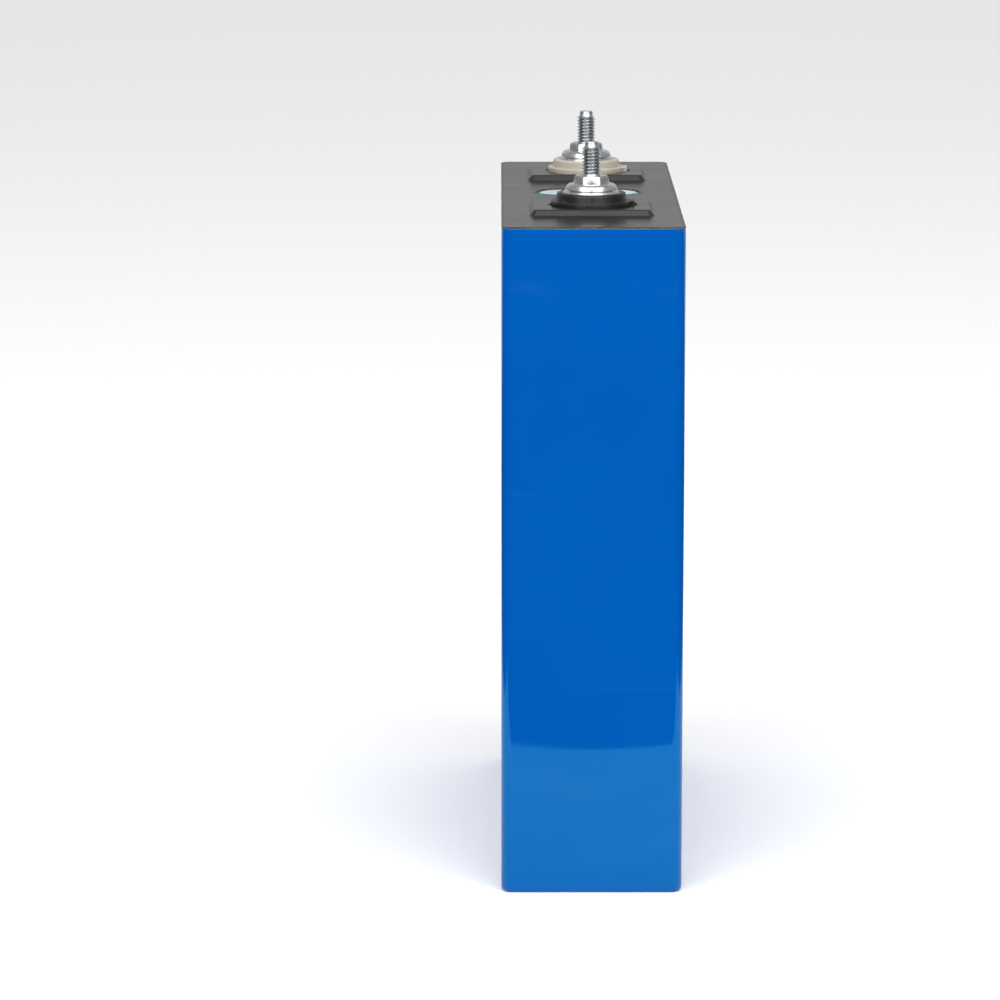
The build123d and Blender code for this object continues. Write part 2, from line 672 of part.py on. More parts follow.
def closing_tape(side):
    """Strip that holds the last turn of a roll down, on its outer flat face."""
    face = SIDES[side] * (ROLL_X + ROLL_THICKNESS / 2 + CLOSING_TAPE / 2)
    height = ROLL_TOP - ROLL_BASE
    return Pos(face, 0, ROLL_BASE + height / 2) * Box(CLOSING_TAPE, CLOSING_TAPE_WIDTH, height)


def roll_bag():
    """Insulating bag between the rolls and the can, open at the top."""
    top = ROLL_TOP + BAG_RISE
    outside = block(BAG_X, BAG_Y, BAG_CORNER, SPACER_TOP, top)
    inside = block(BAG_X - 2 * BAG_FILM, BAG_Y - 2 * BAG_FILM, BAG_CORNER - BAG_FILM, ROLL_BASE, top)
    return outside - inside


def bottom_spacer():
    """Perforated plate that holds the rolls off the can's rounded floor edge."""
    plate = block(BAG_X, BAG_Y, BAG_CORNER, CAN_FLOOR_TOP, SPACER_TOP)
    pitch = BAG_Y / SPACER_HOLES
    for side in SIDES.values():
        for number in range(SPACER_HOLES):
            hole_y = (number - (SPACER_HOLES - 1) / 2) * pitch
            plate -= Pos(side * ROLL_X, hole_y, 0) * disc(SPACER_HOLE_DIAMETER, CAN_FLOOR_TOP, SPACER_TOP)
    return plate


def write_housing():
    write("can", can())
    write("lid_plate", lid_plate())
    write("lid_weld_bead", lid_weld_bead())
    write("vent_disc", at_vent(vent_disc()))
    write("vent_weld_bead", at_vent(vent_weld_bead()))
    write("vent_film", at_vent(vent_film()))
    write("fill_port_pin", fill_port_pin())
    write("fill_port_cap", fill_port_cap())
    write("top_sheet", top_sheet())
    write("wrap_sleeve", wrap_sleeve())
    write("base_film", base_film())


def write_terminals():
    write("negative_lower_insulator", negative_lower_insulator())
    write("positive_lower_insulator", positive_lower_insulator())
    for name in POLES:
        write(f"{name}_pole", at_terminal(pole(COLLECTOR_UNDERSIDE), name))
        write(f"{name}_terminal_block", at_terminal(terminal_block(), name))
        write(f"{name}_upper_insulator", at_terminal(upper_insulator(), name))
        write(f"{name}_seal_ring", at_terminal(seal_ring(), name))
        write(f"{name}_stud", at_terminal(stud(), name))
        write(f"{name}_stud_weld", at_terminal(stud_weld(), name))
        write(f"{name}_collector", Rot(0, 0, TURNED[name]) * collector())
        write(f"{name}_tab_tape", tab_tape(name))
        for side in SIDES:
            write(f"{name}_tabs_{side}", tab_stack(side, name))


def write_rolls():
    for side in SIDES:
        for layer in ("anode", "cathode", "separator"):
            write(f"{side}_roll_{layer}", roll_turns(side, layer))
        write(f"{side}_roll_tape", closing_tape(side))
    write("roll_bag", roll_bag())
    write("bottom_spacer", bottom_spacer())


os.makedirs("parts", exist_ok=True)
write_housing()
write_terminals()
write_rolls()
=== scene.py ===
import json
import math

import bpy
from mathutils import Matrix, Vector, geometry, noise


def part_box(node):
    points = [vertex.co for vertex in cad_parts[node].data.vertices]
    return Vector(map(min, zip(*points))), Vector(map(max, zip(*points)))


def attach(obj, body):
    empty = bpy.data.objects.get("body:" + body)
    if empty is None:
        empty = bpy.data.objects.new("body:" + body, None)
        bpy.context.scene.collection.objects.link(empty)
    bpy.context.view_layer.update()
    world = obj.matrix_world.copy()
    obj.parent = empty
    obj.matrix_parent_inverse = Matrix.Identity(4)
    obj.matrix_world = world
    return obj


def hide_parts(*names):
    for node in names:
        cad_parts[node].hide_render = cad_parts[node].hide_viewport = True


# Visual model of a prismatic battery cell, in metres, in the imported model's frame.
# The negative terminal is at the front, towards -Y. Lengths below are written as multiples of MM.

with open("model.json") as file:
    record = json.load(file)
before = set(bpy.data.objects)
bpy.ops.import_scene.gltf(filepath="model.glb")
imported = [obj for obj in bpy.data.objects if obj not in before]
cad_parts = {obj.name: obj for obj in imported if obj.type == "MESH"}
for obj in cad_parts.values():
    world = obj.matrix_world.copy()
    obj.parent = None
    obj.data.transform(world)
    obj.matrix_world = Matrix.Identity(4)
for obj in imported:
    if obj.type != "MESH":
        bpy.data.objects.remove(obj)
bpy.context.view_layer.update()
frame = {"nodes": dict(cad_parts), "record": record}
nodes = frame["nodes"]

MM = 0.001
POLE_NAMES = ("negative", "positive")
# Point attribute of root depth on the studs, which drives the zinc's painted shade.
ROOT_SHADE_ATTRIBUTE = "root"

# Levels and outlines taken from the frame.
sheet_low, sheet_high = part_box("top_sheet")
wrap_low, wrap_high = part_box("wrap_sleeve")
LID_TOP = sheet_low.z
PLATEAU_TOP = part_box("lid_plate")[1].z
TERMINAL_Y = {pole: sum(corner.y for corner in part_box(f"{pole}_stud")) / 2 for pole in POLE_NAMES}
SHEET_THICKNESS = sheet_high.z - PLATEAU_TOP
FLAT_TOP = LID_TOP + SHEET_THICKNESS
# Band under the sheet's level in which the lid's painted shade fades in.
LID_SHADE_BAND = 0.3 * MM


# ---------------------------------------------------------------- node materials


def new_material(name):
    """Empty node material with a Principled shader."""
    made = bpy.data.materials.new(name)
    made.use_nodes = True
    tree = made.node_tree
    tree.nodes.clear()
    output = tree.nodes.new("ShaderNodeOutputMaterial")
    shader = tree.nodes.new("ShaderNodeBsdfPrincipled")
    tree.links.new(shader.outputs["BSDF"], output.inputs["Surface"])
    return made, tree, shader


def set_inputs(node, **values):
    """Set input sockets by name, with _ for a space."""
    for key, value in values.items():
        node.inputs[key.replace("_", " ")].default_value = value
    return node


def coordinates(tree, stretch=(1, 1, 1)):
    """Object coordinates, scaled per axis."""
    source = tree.nodes.new("ShaderNodeTexCoord")
    mapping = tree.nodes.new("ShaderNodeMapping")
    mapping.inputs["Scale"].default_value = stretch
    tree.links.new(source.outputs["Object"], mapping.inputs["Vector"])
    return mapping.outputs["Vector"]


def noise_value(tree, per_metre, detail=3.0, roughness=0.55, stretch=(1, 1, 1), distortion=0.0):
    """Noise in object space. per_metre is the number of cells in a metre."""
    node = tree.nodes.new("ShaderNodeTexNoise")
    set_inputs(node, Scale=per_metre, Detail=detail, Roughness=roughness, Distortion=distortion)
    tree.links.new(coordinates(tree, stretch), node.inputs["Vector"])
    return node.outputs["Fac"]


def spots(tree, per_metre, size):
    """Small round specks: 1 inside a speck, 0 outside."""
    node = tree.nodes.new("ShaderNodeTexVoronoi")
    set_inputs(node, Scale=per_metre)
    tree.links.new(coordinates(tree), node.inputs["Vector"])
    return remap(tree, node.outputs["Distance"], size, size * 0.6, 0.0, 1.0)


def remap(tree, value, low, high, to_low, to_high):
    """Clamped linear map of a value."""
    node = tree.nodes.new("ShaderNodeMapRange")
    set_inputs(node, From_Min=low, From_Max=high, To_Min=to_low, To_Max=to_high)
    tree.links.new(value, node.inputs["Value"])
    return node.outputs["Result"]


def blend_colours(tree, factor, first, second):
    """Mix of two colours by a factor socket. Either colour may be a socket."""
    node = tree.nodes.new("ShaderNodeMix")
    node.data_type = "RGBA"
    tree.links.new(factor, node.inputs["Factor"])
    for socket, colour in zip((node.inputs[6], node.inputs[7]), (first, second)):
        if isinstance(colour, tuple):
            socket.default_value = (*colour, 1.0)
        else:
            tree.links.new(colour, socket)
    return node.outputs[2]


def mottle(tree, pattern, low, high, first, second):
    """Two colours blended by a pattern: the first up to low, the second from high."""
    return blend_colours(tree, remap(tree, pattern, low, high, 0, 1), first, second)


def paint(tree, shader, colour):
    """Link a colour socket to the shader."""
    tree.links.new(colour, shader.inputs["Base Color"])


def roughen(tree, shader, pattern, smooth, rough, low=0.3, high=0.7):
    """Drive the shader's roughness by a pattern."""
    tree.links.new(remap(tree, pattern, low, high, smooth, rough), shader.inputs["Roughness"])


def combine(tree, first, second, operation="ADD"):
    """Sum of two value sockets, or another operation on them."""
    node = tree.nodes.new("ShaderNodeMath")
    node.operation = operation
    tree.links.new(first, node.inputs[0])
    tree.links.new(second, node.inputs[1])
    return node.outputs[0]


def bump(tree, shader, *layers):
    """Stack bump layers of (height socket, depth in metres) on the shader's normal."""
    normal = None
    for height, depth in layers:
        node = tree.nodes.new("ShaderNodeBump")
        set_inputs(node, Strength=1.0, Distance=depth)
        tree.links.new(height, node.inputs["Height"])
        if normal is not None:
            tree.links.new(normal, node.inputs["Normal"])
        normal = node.outputs["Normal"]
    tree.links.new(normal, shader.inputs["Normal"])


def blue_film():
    """Glossy blue polyester film with faint orange peel, wipe marks and dust."""
    made, tree, shader = new_material("blue_film")
    patches = noise_value(tree, 18, detail=2)
    tint = mottle(tree, patches, 0.35, 0.65, (0.0, 0.070, 0.322), (0.0, 0.076, 0.337))
    wipes = noise_value(tree, 14, detail=5, roughness=0.6, stretch=(1.0, 1.0, 4.0), distortion=0.6)
    haze = remap(tree, wipes, 0.60, 0.80, 0.0, 0.05)
    colour = blend_colours(tree, haze, tint, (0.10, 0.25, 0.60))
    paint(tree, shader, colour)
    roughen(tree, shader, wipes, 0.03, 0.10, low=0.4, high=0.8)
    set_inputs(shader, IOR=1.58, Specular_Tint=(0.15, 1.0, 1.0, 1.0))
    bump(
        tree,
        shader,
        (noise_value(tree, 120, detail=2), 0.0012 * MM),
        (noise_value(tree, 2600, detail=1), 0.0002 * MM),
    )
    return made


def black_sheet():
    """Satin black insulating sheet with a fine calendered grain."""
    made, tree, shader = new_material("black_sheet")
    patches = noise_value(tree, 45, detail=4)
    tint = mottle(tree, patches, 0.3, 0.7, (0.013, 0.013, 0.012), (0.021, 0.021, 0.019))
    dust = spots(tree, 420, 0.05)
    paint(tree, shader, blend_colours(tree, dust, tint, (0.10, 0.10, 0.09)))
    streaks = noise_value(tree, 220, detail=3, stretch=(0.12, 1.0, 1.0))
    roughen(tree, shader, streaks, 0.22, 0.28)
    set_inputs(shader, IOR=1.5)
    bump(
        tree,
        shader,
        (streaks, 0.002 * MM),
        (noise_value(tree, 3200, detail=2), 0.0030 * MM),
    )
    return made


def sheet_edge():
    """Cut edge of the sheet, where its light adhesive backing shows."""
    made, tree, shader = new_material("sheet_edge")
    patches = noise_value(tree, 600, detail=3)
    colour = mottle(tree, patches, 0.4, 0.62, (0.13, 0.11, 0.085), (0.05, 0.045, 0.04))
    paint(tree, shader, colour)
    set_inputs(shader, Roughness=0.5)
    return made


def moulded_plastic(name, first, second, roughness, speck, speck_colour):
    """Injection-moulded plastic: mottled tone, draw marks up its walls and small specks."""
    made, tree, shader = new_material(name)
    patches = noise_value(tree, 220, detail=4)
    tint = mottle(tree, patches, 0.3, 0.7, first, second)
    dust = spots(tree, 520, speck)
    paint(tree, shader, blend_colours(tree, dust, tint, speck_colour))
    draws = noise_value(tree, 1500, detail=3, stretch=(1.0, 1.0, 0.08))
    roughen(tree, shader, draws, roughness - 0.06, roughness + 0.06)
    set_inputs(shader, IOR=1.5)
    bump(
        tree,
        shader,
        (draws, 0.012 * MM),
        (noise_value(tree, 5200, detail=2), 0.004 * MM),
    )
    return made


def plated_steel():
    """Bright zinc plate with a faint blue passivation, with painted shade down in the thread's roots."""
    made, tree, shader = new_material("zinc_plate")
    clouds = noise_value(tree, 420, detail=4, distortion=0.4)
    tint = mottle(tree, clouds, 0.35, 0.65, (0.67, 0.70, 0.73), (0.79, 0.78, 0.74))
    root = tree.nodes.new("ShaderNodeAttribute")
    root.attribute_name = ROOT_SHADE_ATTRIBUTE
    # Painted shade: the root attribute darkens the zinc in the thread's roots and in the neck under the
    # hexagon.
    depth = remap(tree, root.outputs["Fac"], 0.15, 1.0, 0.0, 0.8)
    paint(tree, shader, blend_colours(tree, depth, tint, (0.32, 0.38, 0.42)))
    grain = noise_value(tree, 2400, detail=3)
    roughen(tree, shader, grain, 0.22, 0.36)
    set_inputs(shader, Metallic=1.0)
    bump(
        tree,
        shader,
        (noise_value(tree, 900, detail=3), 0.010 * MM),
        (grain, 0.003 * MM),
    )
    return made


def bare_metal(name, first, second, low, high, stretch=(1.0, 0.04, 1.0)):
    """Bare sheet metal with rolling lines and a clouded oxide tone."""
    made, tree, shader = new_material(name)
    clouds = noise_value(tree, 120, detail=4)
    colour = mottle(tree, clouds, 0.3, 0.7, first, second)
    paint(tree, shader, colour)
    lines = noise_value(tree, 2200, detail=3, stretch=stretch)
    roughen(tree, shader, lines, low, high)
    set_inputs(shader, Metallic=1.0)
    bump(tree, shader, (lines, 0.004 * MM))
    return made


def shaded_lid():
    """Lid metal whose top is painted black and matte as shade, so the gaps round the cut-outs and the
    vent film read dark.
    """
    made = bare_metal("shaded_lid", (0.78, 0.78, 0.79), (0.86, 0.86, 0.86), 0.26, 0.40)
    tree = made.node_tree
    shader = next(node for node in tree.nodes if node.type == "BSDF_PRINCIPLED")
    metal = shader.inputs["Base Color"].links[0].from_socket
    axes = tree.nodes.new("ShaderNodeSeparateXYZ")
    tree.links.new(coordinates(tree), axes.inputs["Vector"])
    # Painted shade: the lid's top band fades to black, non-metallic and rough just under the sheet's
    # level.
    painted_shade = remap(tree, axes.outputs["Z"], LID_TOP - LID_SHADE_BAND, LID_TOP - LID_SHADE_BAND / 3, 0.0, 1.0)
    paint(tree, shader, blend_colours(tree, painted_shade, metal, (0.008, 0.008, 0.008)))
    tree.links.new(remap(tree, painted_shade, 0, 1, 1.0, 0.0), shader.inputs["Metallic"])
    roughen(tree, shader, combine(tree, painted_shade, noise_value(tree, 300)), 0.3, 0.9, low=0, high=2)
    return made


def weld_metal():
    """Laser-welded aluminium, frosted with fine ripples."""
    made, tree, shader = new_material("weld_metal")
    clouds = noise_value(tree, 900, detail=4)
    colour = mottle(tree, clouds, 0.3, 0.7, (0.62, 0.61, 0.60), (0.90, 0.89, 0.87))
    paint(tree, shader, colour)
    roughen(tree, shader, clouds, 0.22, 0.42)
    set_inputs(shader, Metallic=1.0)
    bump(tree, shader, (noise_value(tree, 2600, detail=3), 0.012 * MM))
    return made


def clear_film():
    """Hazy clear film over the vent."""
    made, tree, shader = new_material("vent_film_clear")
    clouds = noise_value(tree, 160, detail=4)
    colour = mottle(tree, clouds, 0.3, 0.7, (0.50, 0.60, 0.62), (0.66, 0.72, 0.72))
    paint(tree, shader, colour)
    roughen(tree, shader, clouds, 0.16, 0.34)
    set_inputs(shader, IOR=1.5, Alpha=0.86)
    bump(tree, shader, (noise_value(tree, 500, detail=3), 0.02 * MM))
    return made


def film_rim():
    """Cyan adhesive border of the vent film."""
    made, tree, shader = new_material("vent_film_rim")
    clouds = noise_value(tree, 500, detail=3)
    colour = mottle(tree, clouds, 0.3, 0.7, (0.06, 0.44, 0.60), (0.16, 0.56, 0.68))
    paint(tree, shader, colour)
    roughen(tree, shader, clouds, 0.25, 0.4)
    bump(tree, shader, (noise_value(tree, 1400, detail=2), 0.01 * MM))
    return made


def soft_film(name, first, second, roughness):
    """Thin matte film, tape or separator with a faint crinkle."""
    made, tree, shader = new_material(name)
    clouds = noise_value(tree, 60, detail=5)
    colour = mottle(tree, clouds, 0.3, 0.7, first, second)
    paint(tree, shader, colour)
    roughen(tree, shader, clouds, roughness - 0.05, roughness + 0.08)
    bump(tree, shader, (noise_value(tree, 300, detail=4, distortion=0.8), 0.02 * MM))
    return made


def coated_electrode(name, first, second):
    """Dry powder coating on foil: dark and grainy."""
    made, tree, shader = new_material(name)
    grain = noise_value(tree, 4500, detail=4)
    clouds = noise_value(tree, 70, detail=3)
    mixed = combine(tree, grain, clouds, "MULTIPLY")
    colour = mottle(tree, mixed, 0.15, 0.35, first, second)
    paint(tree, shader, colour)
    roughen(tree, shader, grain, 0.65, 0.85)
    bump(tree, shader, (grain, 0.006 * MM))
    return made


def seal_rubber():
    """Matte black rubber with bloom."""
    made, tree, shader = new_material("seal_rubber")
    bloom = noise_value(tree, 320, detail=5)
    colour = mottle(tree, bloom, 0.45, 0.7, (0.012, 0.012, 0.012), (0.05, 0.05, 0.05))
    paint(tree, shader, colour)
    roughen(tree, shader, bloom, 0.55, 0.75)
    bump(tree, shader, (noise_value(tree, 3000, detail=3), 0.006 * MM))
    return made


def pale_floor():
    """Seamless pale paper."""
    made, tree, shader = new_material("studio_paper")
    fibres = noise_value(tree, 800, detail=3)
    colour = mottle(tree, fibres, 0.3, 0.7, (0.93, 0.93, 0.93), (0.95, 0.95, 0.95))
    paint(tree, shader, colour)
    set_inputs(shader, Roughness=0.9)
    shader.inputs["Specular IOR Level"].default_value = 0.1
    return made


MATERIALS = {
    "blue_film": blue_film(),
    "black_sheet": black_sheet(),
    "vent_film": clear_film(),
    "beige_plastic": moulded_plastic(
        "beige_plastic", (0.38, 0.335, 0.28), (0.44, 0.395, 0.335), 0.46, 0.035, (0.22, 0.18, 0.15)
    ),
    "black_plastic": moulded_plastic(
        "black_plastic", (0.006, 0.006, 0.007), (0.012, 0.012, 0.013), 0.38, 0.07, (0.45, 0.45, 0.45)
    ),
    "white_plastic": moulded_plastic(
        "white_plastic", (0.74, 0.74, 0.71), (0.82, 0.82, 0.80), 0.5, 0.03, (0.5, 0.5, 0.5)
    ),
    "zinc_plate": plated_steel(),
    "aluminium": bare_metal("aluminium", (0.78, 0.78, 0.79), (0.86, 0.86, 0.86), 0.26, 0.40),
    "can_aluminium": bare_metal(
        "can_aluminium", (0.70, 0.71, 0.72), (0.80, 0.80, 0.80), 0.30, 0.46, stretch=(1.0, 1.0, 0.03)
    ),
    "weld_metal": weld_metal(),
    "copper": bare_metal("copper", (0.70, 0.30, 0.17), (0.84, 0.44, 0.28), 0.24, 0.42),
    "aluminium_foil": bare_metal("aluminium_foil", (0.80, 0.80, 0.81), (0.88, 0.88, 0.88), 0.18, 0.32),
    "copper_foil": bare_metal("copper_foil", (0.76, 0.36, 0.22), (0.88, 0.50, 0.34), 0.2, 0.34),
    "anode_coating": coated_electrode("anode_coating", (0.014, 0.014, 0.015), (0.035, 0.035, 0.037)),
    "cathode_coating": coated_electrode("cathode_coating", (0.035, 0.035, 0.038), (0.07, 0.07, 0.075)),
    "separator_film": soft_film("separator_film", (0.80, 0.80, 0.78), (0.88, 0.88, 0.87), 0.55),
    "bag_film": soft_film("bag_film", (0.60, 0.64, 0.66), (0.72, 0.75, 0.77), 0.35),
    "green_tape": soft_film("green_tape", (0.03, 0.22, 0.09), (0.06, 0.30, 0.14), 0.4),
    "seal_rubber": seal_rubber(),
}


def dress_cad_nodes():
    """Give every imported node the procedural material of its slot."""
    for part in frame["record"]["subparts"]:
        mesh = nodes[part["node"]].data
        mesh.materials.clear()
        mesh.materials.append(MATERIALS[part["material_slot"]])
    # The lid plate's top gets painted shade instead of bare metal.
    nodes["lid_plate"].data.materials[0] = shaded_lid()


# ---------------------------------------------------------------- mesh helpers


def publish(name, points, faces, slot_name, replaced, sharp_degrees=40):
    """Make a piece from points and faces, dress it, and tie it to the frame."""
    mesh = bpy.data.meshes.new(name)
    mesh.from_pydata(points, [], faces)
    mesh.validate()
    mesh.shade_smooth()
    mesh.set_sharp_from_angle(angle=math.radians(sharp_degrees))
    mesh.materials.append(MATERIALS[slot_name])
    piece = bpy.data.objects.new(name, mesh)
    bpy.context.scene.collection.objects.link(piece)
    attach(piece, "root")
    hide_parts(replaced)
    return piece


def skin(rings, closed_loop=False):
    """Points and quads between rings of equal length. closed_loop joins the last ring to the first."""
    count = len(rings[0])
    points = [point for ring in rings for point in ring]
    faces = []
    pairs = len(rings) if closed_loop else len(rings) - 1
    for row in range(pairs):
        upper = (row + 1) % len(rings)
        for column in range(count):
            following = (column + 1) % count
            faces.append((
                row * count + column,
                row * count + following,
                upper * count + following,
                upper * count + column,
            ))
    return points, faces


def add_cap(points, faces, ring_start, count, reverse=False):
    """Close a ring with a fan round its middle point."""
    middle = sum((Vector(points[ring_start + i]) for i in range(count)), Vector()) / count
    points.append(tuple(middle))
    centre = len(points) - 1
    for column in range(count):
        face = (centre, ring_start + column, ring_start + (column + 1) % count)
        faces.append(face[::-1] if reverse else face)


def arc(centre_r, centre_z, radius, start, end, steps):
    """Profile points (r, z) along an arc, in degrees from +r towards +z."""
    made = []
    for step in range(steps + 1):
        angle = math.radians(start + (end - start) * step / steps)
        made.append((centre_r + radius * math.cos(angle), centre_z + radius * math.sin(angle)))
    return made


def polar(radius, angle, height, centre_y):
    """Point at a radius and angle round a terminal's axis."""
    return (radius * math.cos(angle), centre_y + radius * math.sin(angle), height)


# ---------------------------------------------------------------- weld studs

STUD_COLUMNS = 144
THREAD_MAJOR = 2.9 * MM
THREAD_PITCH = 1.0 * MM
THREAD_ROWS_PER_TURN = 14
THREAD_DEPTH = 0.60 * MM
THREAD_LENGTH = 8.5 * MM
THREAD_RUN_IN = 0.5 * MM
THREAD_CHAMFER = 0.55 * MM
LEAD_LENGTH = 1.6 * MM
LEAD_RADIUS = 2.05 * MM
LEAD_EDGE = 0.25 * MM
HEX_APOTHEM = 5.05 * MM
HEX_CROWN = 13.0 * MM
HEX_HEIGHT = 2.5 * MM
HEX_TOP_RADIUS = 4.15 * MM
HEX_SHOULDER = 1.65 * MM
HEX_FOOT = 0.05 * MM
HEX_DULLED = 0.10 * MM
HEX_BLEND = 0.22 * MM
FLANGE_EDGE = 0.22 * MM
FLANGE_RIM = 0.55 * MM
FLANGE_HEIGHT = 2.5 * MM
DOME_TOP_RADIUS = 5.75 * MM
DOME_SWELL = 0.16 * MM
HEX_ROWS = 22


def hexagon_radius(angle):
    """Hexagon with crowned flats, one of them facing -Y, and softened corners."""
    degrees = math.degrees(angle) % 60 - 30
    phi = math.radians(degrees)
    offset = HEX_APOTHEM - HEX_CROWN
    radius = offset * math.cos(phi) + math.sqrt(HEX_CROWN**2 - (offset * math.sin(phi)) ** 2)
    corner = math.exp(-(((30 - abs(degrees)) / 4.0) ** 2))
    return radius - HEX_DULLED * corner


def softer_of(first, second, blend):
    """The smaller of two radii, rounded over where they cross."""
    share = min(max(0.5 + 0.5 * (second - first) / blend, 0.0), 1.0)
    return second + (first - second) * share - blend * share * (1 - share)


def nut_radius(angle, share):
    """Cold-formed hexagon at a share of its height: leaning facets under a rounded shoulder."""
    facet = hexagon_radius(angle) * (1 - 0.035 * share - 0.065 * share**2)
    shoulder = HEX_TOP_RADIUS + HEX_SHOULDER * math.sqrt(max(0.0, 1 - share**2.4))
    return softer_of(facet, shoulder, HEX_BLEND)


def thread_radius(angle, height):
    """Radius on a right-hand thread, and how deep in the root it is."""
    phase = (height / THREAD_PITCH - angle / math.tau) % 1.0
    flank = (0.375 - abs(phase - 0.5)) / (0.375 - 0.0625)
    crest = min(max(flank, 0.0), 1.0)
    crest = crest * crest * (3 - 2 * crest) * 0.35 + crest * 0.65
    run_in = min(max(height / THREAD_RUN_IN, 0.0), 1.0)
    depth = THREAD_DEPTH * (1 - crest) * run_in
    chamfer = THREAD_MAJOR - max(0.0, height - (THREAD_LENGTH - THREAD_CHAMFER)) * 1.25
    radius = min(THREAD_MAJOR - depth, max(chamfer, LEAD_RADIUS))
    return radius, (THREAD_MAJOR - radius) / THREAD_DEPTH


def stud_profile(low, flange):
    """Flange and dome below the hexagon, as (r, z) points from the middle of the underside."""
    rim = low + FLANGE_RIM
    hex_low = low + FLANGE_HEIGHT
    profile = [(0.5 * MM, low)]
    profile += arc(flange - FLANGE_EDGE, low + FLANGE_EDGE, FLANGE_EDGE, -90, 0, 4)
    for step in range(15):
        turn = math.radians(6 * step)
        radius = DOME_TOP_RADIUS + (flange - DOME_TOP_RADIUS) * math.cos(turn) ** 0.8
        profile.append((radius, rim + (hex_low - rim) * math.sin(turn) ** 1.15))
    return profile


def dome_swell(angle, radius):
    """Slight swell of the flange's dome below each corner of the hexagon."""
    degrees = abs(math.degrees(angle) % 60 - 30)
    across = math.exp(-(((radius - 6.4 * MM) / (0.9 * MM)) ** 2))
    return DOME_SWELL * across * math.exp(-(((30 - degrees) / 11) ** 2))


def make_stud(pole):
    """Hex-flange weld stud with a real helical thread."""
    low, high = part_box(f"{pole}_stud")
    centre_y = TERMINAL_Y[pole]
    flange = (high.x - low.x) / 2
    thread_low = high.z - LEAD_LENGTH - THREAD_LENGTH
    hex_low = thread_low - HEX_HEIGHT
    angles = [math.tau * column / STUD_COLUMNS for column in range(STUD_COLUMNS)]
    profile = stud_profile(low.z, flange)
    rings = [[polar(r, a, z + dome_swell(a, r), centre_y) for a in angles] for r, z in profile]
    roots = [0.15] * len(rings)

    for row in range(HEX_ROWS + 1):
        share = 1 - (1 - row / HEX_ROWS) ** 1.8
        z = hex_low + HEX_FOOT + (HEX_HEIGHT - HEX_FOOT) * share
        rings.append([polar(nut_radius(a, share), a, z, centre_y) for a in angles])
        roots.append(0.0)
    # The neck under the hexagon takes a root value of 0.3, which gives it a little painted shade.
    for radius, drop in ((3.9, 0.0), (3.5, 0.03), (3.15, 0.12)):
        rings.append([polar(radius * MM, a, thread_low - drop * MM, centre_y) for a in angles])
        roots.append(0.3)

    turns = THREAD_LENGTH / THREAD_PITCH
    rows = int(turns * THREAD_ROWS_PER_TURN)
    thread_start = len(rings)
    thread_roots = []
    for row in range(rows + 1):
        z = THREAD_LENGTH * row / rows
        ring = []
        for a in angles:
            radius, root = thread_radius(a, z)
            ring.append(polar(radius, a, thread_low + z, centre_y))
            thread_roots.append(min(root, 1.0))
        rings.append(ring)

    lead_low = high.z - LEAD_LENGTH
    lead = [(LEAD_RADIUS, lead_low + 0.15 * MM)]
    lead += arc(LEAD_RADIUS - LEAD_EDGE, high.z - LEAD_EDGE, LEAD_EDGE, 0, 90, 6)
    lead += [(1.2 * MM, high.z - 0.02 * MM)]
    rings += [[polar(r, a, z, centre_y) for a in angles] for r, z in lead]

    points, faces = skin(rings)
    last = (len(rings) - 1) * STUD_COLUMNS
    add_cap(points, faces, 0, STUD_COLUMNS, reverse=True)
    add_cap(points, faces, last, STUD_COLUMNS)
    name = f"{pole}_stud_threaded"
    piece = publish(name, points, faces, "zinc_plate", f"{pole}_stud", sharp_degrees=48)

    values = [roots[row] for row in range(thread_start) for _ in range(STUD_COLUMNS)]
    values += thread_roots
    values += [0.1] * (len(piece.data.vertices) - len(values))
    attribute = piece.data.attributes.new(ROOT_SHADE_ATTRIBUTE, "FLOAT", "POINT")
    attribute.data.foreach_set("value", values)
    return piece


# ---------------------------------------------------------------- stud welds

WELD_COLUMNS = 288
WELD_PULSES = 62


def make_stud_weld(pole):
    """Laser weld round the stud's flange, with overlapping pulses."""
    low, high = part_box(f"{pole}_stud_weld")
    centre_y = TERMINAL_Y[pole]
    outer = (high.x - low.x) / 2
    height = high.z - low.z
    stud_low, stud_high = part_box(f"{pole}_stud")
    inner = (stud_high.x - stud_low.x) / 2 - 0.15 * MM
    rings = []
    for step in range(7):
        t = step / 6
        ring = []
        for column in range(WELD_COLUMNS):
            angle = math.tau * column / WELD_COLUMNS
            pulse = abs(math.sin(angle * WELD_PULSES / 2)) * 0.35 + 0.65
            spread = (outer - inner) * (0.86 + 0.14 * pulse)
            radius = inner + spread * math.cos(t * math.pi / 2)
            z = low.z + height * (0.35 + 0.65 * pulse) * math.sin(t * math.pi / 2)
            ring.append(polar(radius, angle, z, centre_y))
        rings.append(ring)
    angles = [math.tau * column / WELD_COLUMNS for column in range(WELD_COLUMNS)]
    rings.append([polar(inner, angle, low.z, centre_y) for angle in angles])
    points, faces = skin(rings, closed_loop=True)
    return publish(f"{pole}_stud_weld_bead", points, faces, "weld_metal", f"{pole}_stud_weld")


# ---------------------------------------------------------------- terminal insulators

TAB_HALF_WIDTH = 2.6 * MM
FLANGE_REACH = 1.5 * MM
RING_TAPER = 0.15 * MM
RING_EDGE = 0.8 * MM
RING_FOOT = 0.25 * MM
TAB_FLANGE_RISE = 1.4 * MM
TAB_FLANGE_EDGE = 0.28 * MM
BORE_EDGE = 0.2 * MM
POLE_BORE_INSET = 4.0 * MM


